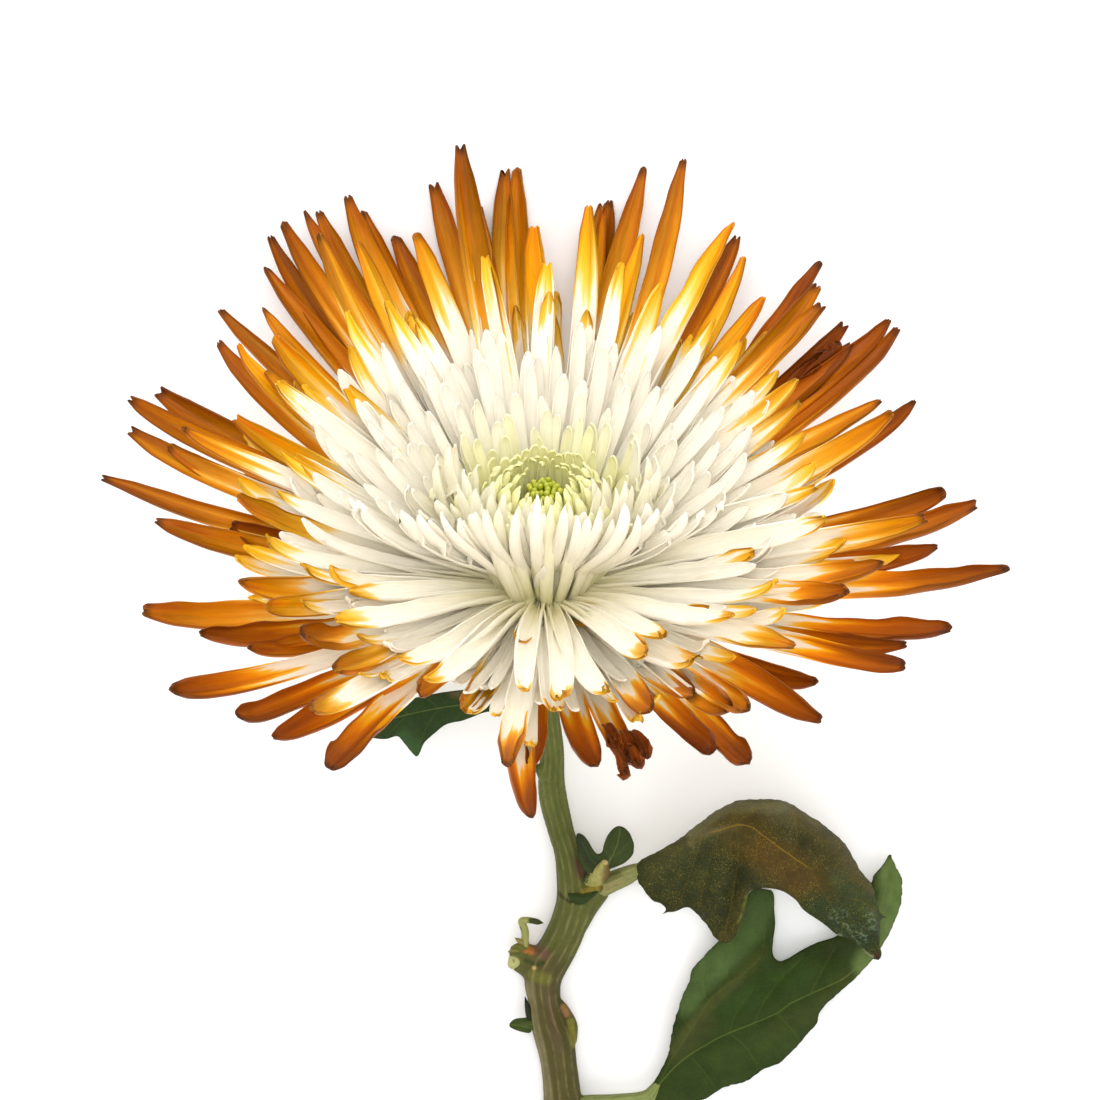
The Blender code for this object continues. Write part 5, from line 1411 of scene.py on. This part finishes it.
def build_stalk(name, rows, ground, stains_and_painted_light, material):
    """A leaf's stalk, channelled along its top."""
    points, quads = pixel_pipe(rows, 1.2, STALK_SIDES)
    turn = np.tile(circle(STALK_SIDES), len(points) // STALK_SIDES)
    groove = bell((turn - pi / 2) / 0.5)
    centres = points.reshape(-1, STALK_SIDES, 3).mean(axis=1).repeat(STALK_SIDES, axis=0)
    ridge = np.cos(turn * STALK_RIDGES)
    points = off_floor(points + (centres - points) * (0.32 * groove + 0.05 * ridge)[:, None])
    across, down = pixels_of(points).T * PIXEL
    grain = np.column_stack([turn * 1.6, across / (2.4 * MM), down / (6 * MM)])
    return make_piece(name, points, quads, bark(points, 0.5 + 0.5 * ridge, grain, ground, stains_and_painted_light), material)


def inside(outline, spots):
    """Which spots lie within an outline."""
    odd = np.zeros(len(spots), bool)
    for (x0, y0), (x1, y1) in zip(outline, np.roll(outline, -1, axis=0)):
        if y0 != y1:
            crossing = (x1 - x0) * (spots[:, 1] - y0) / (y1 - y0) + x0
            odd ^= ((y0 > spots[:, 1]) != (y1 > spots[:, 1])) & (spots[:, 0] < crossing)
    return odd


def closed_line(rows):
    return np.vstack([rows, rows[:1]])


def blade_net(outline, ribs, spacing):
    """Spots and triangles that fill an outline, with corners along its ribs."""
    draw = np.random.default_rng(SEED)
    spots = [outline]
    edges = [(index, (index + 1) % len(outline)) for index in range(len(outline))]
    for rib in ribs:
        taken = np.vstack(spots)
        rib = rib[inside(outline, rib) & (nearest(rib, closed_line(taken))[0] > spacing * 0.45)]
        near = np.linalg.norm(np.diff(rib, axis=0), axis=1) < spacing * 2.5
        edges += [(len(taken) + index, len(taken) + index + 1) for index in np.flatnonzero(near)]
        spots.append(rib)
    low, high = outline.min(axis=0), outline.max(axis=0)
    columns, rows = np.meshgrid(*(np.arange(least, most, spacing) for least, most in zip(low, high)))
    columns = columns + (np.arange(len(columns)) % 2)[:, None] * spacing / 2
    grid = np.stack([columns.ravel(), rows.ravel()], -1)
    grid = grid + draw.uniform(-0.22, 0.22, grid.shape) * spacing
    grid = grid[inside(outline, grid)]
    gaps = ((grid[:, None] - np.vstack(spots)[None]) ** 2).sum(-1).min(axis=1)
    spots.append(grid[gaps > (spacing * 0.55) ** 2])
    flat = [Vector(spot) for spot in np.vstack(spots)]
    corners, _, faces, _, _, _ = delaunay_2d_cdt(flat, edges, [list(range(len(outline)))], 1, 0.001)
    triangles = [face for face in faces if len(face) == 3]
    return np.array([tuple(corner) for corner in corners]), np.array(triangles)


def thickened(middle, triangles, half):
    """Points and triangles of a closed sheet: a net's upper and under side, and a wall round its rim."""
    corners = middle[triangles]
    faces = np.cross(corners[:, 1] - corners[:, 0], corners[:, 2] - corners[:, 0])
    lean = np.zeros_like(middle)
    for corner in range(3):
        np.add.at(lean, triangles[:, corner], faces)
    lean = unit(lean)
    if lean[:, 2].mean() < 0:
        triangles, lean = triangles[:, ::-1], -lean
    sides = np.concatenate([triangles[:, [0, 1]], triangles[:, [1, 2]], triangles[:, [2, 0]]]).tolist()
    keys = {tuple(side) for side in sides}
    start, end = np.array([side for side in sides if (side[1], side[0]) not in keys]).T
    count = len(middle)
    walls = [np.stack([start, start + count, end], -1), np.stack([end, start + count, end + count], -1)]
    points = np.concatenate([middle + lean * half, middle - lean * half])
    return off_floor(points), np.concatenate([triangles, triangles[:, ::-1] + count, *walls])


def nibbled(outline):
    """An outline with small uneven bumps and nicks."""
    away = np.arange(len(outline))
    nibble = 0.35 * np.sin(away * 1.7 + 2 * np.sin(away * 0.23)) + 0.4 * np.sin(away * 0.61 + 1)
    nibble += 0.45 * np.maximum(0, np.sin(away * 2.3 + 3 * np.sin(away * 0.37))) ** 3
    return outline + nibble[:, None] * (outline - outline.mean(axis=0)) / 100


def build_blade(name, blade, material):
    """A leaf's blade: a fine net with sunk ribs, soft waves and a thin edge."""
    outline = nibbled(through(blade["outline"], 3.0, closed=True))
    midrib = through(in_metres(blade["midrib"]), 2.5)
    veins = [through(vein, 3.0) for vein in blade["veins"]]
    spots, triangles = blade_net(outline, [midrib[:, :2], *veins], blade["spacing"])

    gap, row, left = nearest(spots, midrib)
    gap = gap * PIXEL
    pull = (((spots[:, None] - midrib[None, :, :2]) ** 2).sum(-1) + 4.0) ** -2.5
    pull /= pull.sum(axis=1, keepdims=True)
    run = (pull @ np.arange(len(midrib))) * 2.5 * PIXEL
    wave = np.sin(2 * pi * run / (11 * MM) + np.where(left, 1.2, 0)) * np.minimum(1, gap / (5 * MM))
    vein_gap = np.min([nearest(spots, vein)[0] for vein in veins], axis=0) * PIXEL
    edge = nearest(spots, closed_line(outline))[0] * PIXEL
    swell = smooth(np.minimum(vein_gap, gap), 0.0, 1.6 * MM) * smooth(edge, 0, 1.5 * MM)
    height = pull @ midrib[:, 2] - np.where(left, *blade["drop"]) * (np.hypot(gap, CREASE) - CREASE)
    height += blade["wave"] * MM * wave + blade["quilt"] * MM * swell
    height -= 0.14 * MM * bell(gap / (0.35 * MM)) + 0.08 * MM * bell(vein_gap / (0.3 * MM))
    for line, broad, lift in blade.get("folds", ()):
        height += lift * MM * bell(nearest(spots, line)[0] / broad)
    height = eased(height, BLADE_HALF + 0.05 * MM, 0.8 * MM)
    half = BLADE_HALF * (0.45 + 0.55 * smooth(edge, 0, 0.8 * MM))
    points, faces = thickened(at(*spots.T, height), triangles, half[:, None])

    begins, full, fades, ends = blade.get("ribbed", ALL_RIBBED)
    shown = smooth(row, begins, full) * (1 - smooth(row, fades, ends))
    gloss = [spread_from(spots, line, broad) for line, broad in blade.get("gloss", ())]
    shading = {
        "rib": gap / MM + 1 - shown,
        "vein": vein_gap / MM,
        "edge": edge / MM,
        "gloss": np.max(gloss + [np.zeros(len(spots))], axis=0),
        "grain": np.column_stack([spots * PIXEL / MM, height / MM * 0.2]),
        "hue": with_stains_and_painted_light(spots, blade["ground"], blade.get("stains_and_painted_light", ())),
    }
    shading = {key: np.concatenate([values, values]) for key, values in shading.items()}
    shading["under"] = np.repeat((0.0, 1.0), len(spots))
    return make_piece(name, points, faces, shading, material)


def settle_piece(piece, node):
    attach(piece, "root")
    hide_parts(node)


def build_stage():
    """A pale floor, soft lamps and a camera straight above the middle of the photograph's frame."""
    bpy.ops.mesh.primitive_plane_add(size=6, location=(0, 0, -0.01 * MM))
    floor = bpy.context.object
    floor.name = "floor"
    ground = Paint("floor")
    ground.shader.inputs["Base Color"].default_value = (0.95, 0.95, 0.95, 1)
    ground.shader.inputs["Roughness"].default_value = 0.9
    floor.data.materials.append(ground.material)
    floor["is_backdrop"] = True

    scene = bpy.context.scene
    world = scene.world or bpy.data.worlds.new("studio")
    scene.world = world
    world.use_nodes = True
    sky = world.node_tree.nodes["Background"]
    sky.inputs["Color"].default_value = (1.0, 1.0, 1.0, 1)
    sky.inputs["Strength"].default_value = SKY_STRENGTH
    for name, place, size, power in LAMPS:
        lamp = bpy.data.lights.new(name, "AREA")
        lamp.size = size
        lamp.energy = power
        item = bpy.data.objects.new(name, lamp)
        item.location = place
        aim = Vector((0, 0.01, 0.03)) - Vector(place)
        item.rotation_euler = aim.to_track_quat("-Z", "Y").to_euler()
        item.visible_camera = False
        scene.collection.objects.link(item)

    lens = bpy.data.cameras.new("camera")
    lens.sensor_width = SENSOR
    lens.lens = SENSOR * VIEW_HEIGHT / (FRAME_PX * PIXEL)
    camera = bpy.data.objects.new("camera", lens)
    camera.location = at(*VIEW_CENTRE_PX, 0)
    camera.location.z = VIEW_HEIGHT
    scene.collection.objects.link(camera)
    scene.camera = camera
    scene.view_settings.view_transform = "Standard"
    scene.view_settings.look = "None"


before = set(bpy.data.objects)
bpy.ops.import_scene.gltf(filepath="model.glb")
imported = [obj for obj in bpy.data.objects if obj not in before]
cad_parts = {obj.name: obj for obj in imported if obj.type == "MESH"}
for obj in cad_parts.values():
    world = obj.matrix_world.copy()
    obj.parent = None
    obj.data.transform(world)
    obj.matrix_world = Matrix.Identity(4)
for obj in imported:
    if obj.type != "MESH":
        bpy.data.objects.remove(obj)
solid_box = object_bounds()
build_stage()
for ray in (*build_rays(), build_core()):
    settle_piece(ray, "ray_florets")
for part in (build_eye(), build_eye_bed()):
    settle_piece(part, "disc_florets")
for part in build_involucre():
    settle_piece(part, "involucre")
stem_material = stem_paint()
for part in (build_stem(stem_material), *build_twigs(stem_material)):
    settle_piece(part, "stem")
olive = blade_paint("leaf_olive", 0.5, (158, 136, 44), (138, 104, 20), 0.07, (58, 62, 24), 0.50)
green = blade_paint("leaf_green", 0.08, (80, 98, 40), (96, 108, 44), 0.10, (20, 28, 8), 0.52)
for leaf_name, blade in BLADES.items():
    material = olive if leaf_name == "leaf_arched" else green
    settle_piece(build_blade(leaf_name + "_blade", blade, material), leaf_name)
for leaf_name, rows, ground, stains_and_painted_light in STALKS:
    settle_piece(build_stalk(leaf_name + "_stalk", rows, ground, stains_and_painted_light, stem_material), leaf_name)
dressed_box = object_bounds()
[[list(corner) for corner in box] for box in (solid_box, dressed_box)]
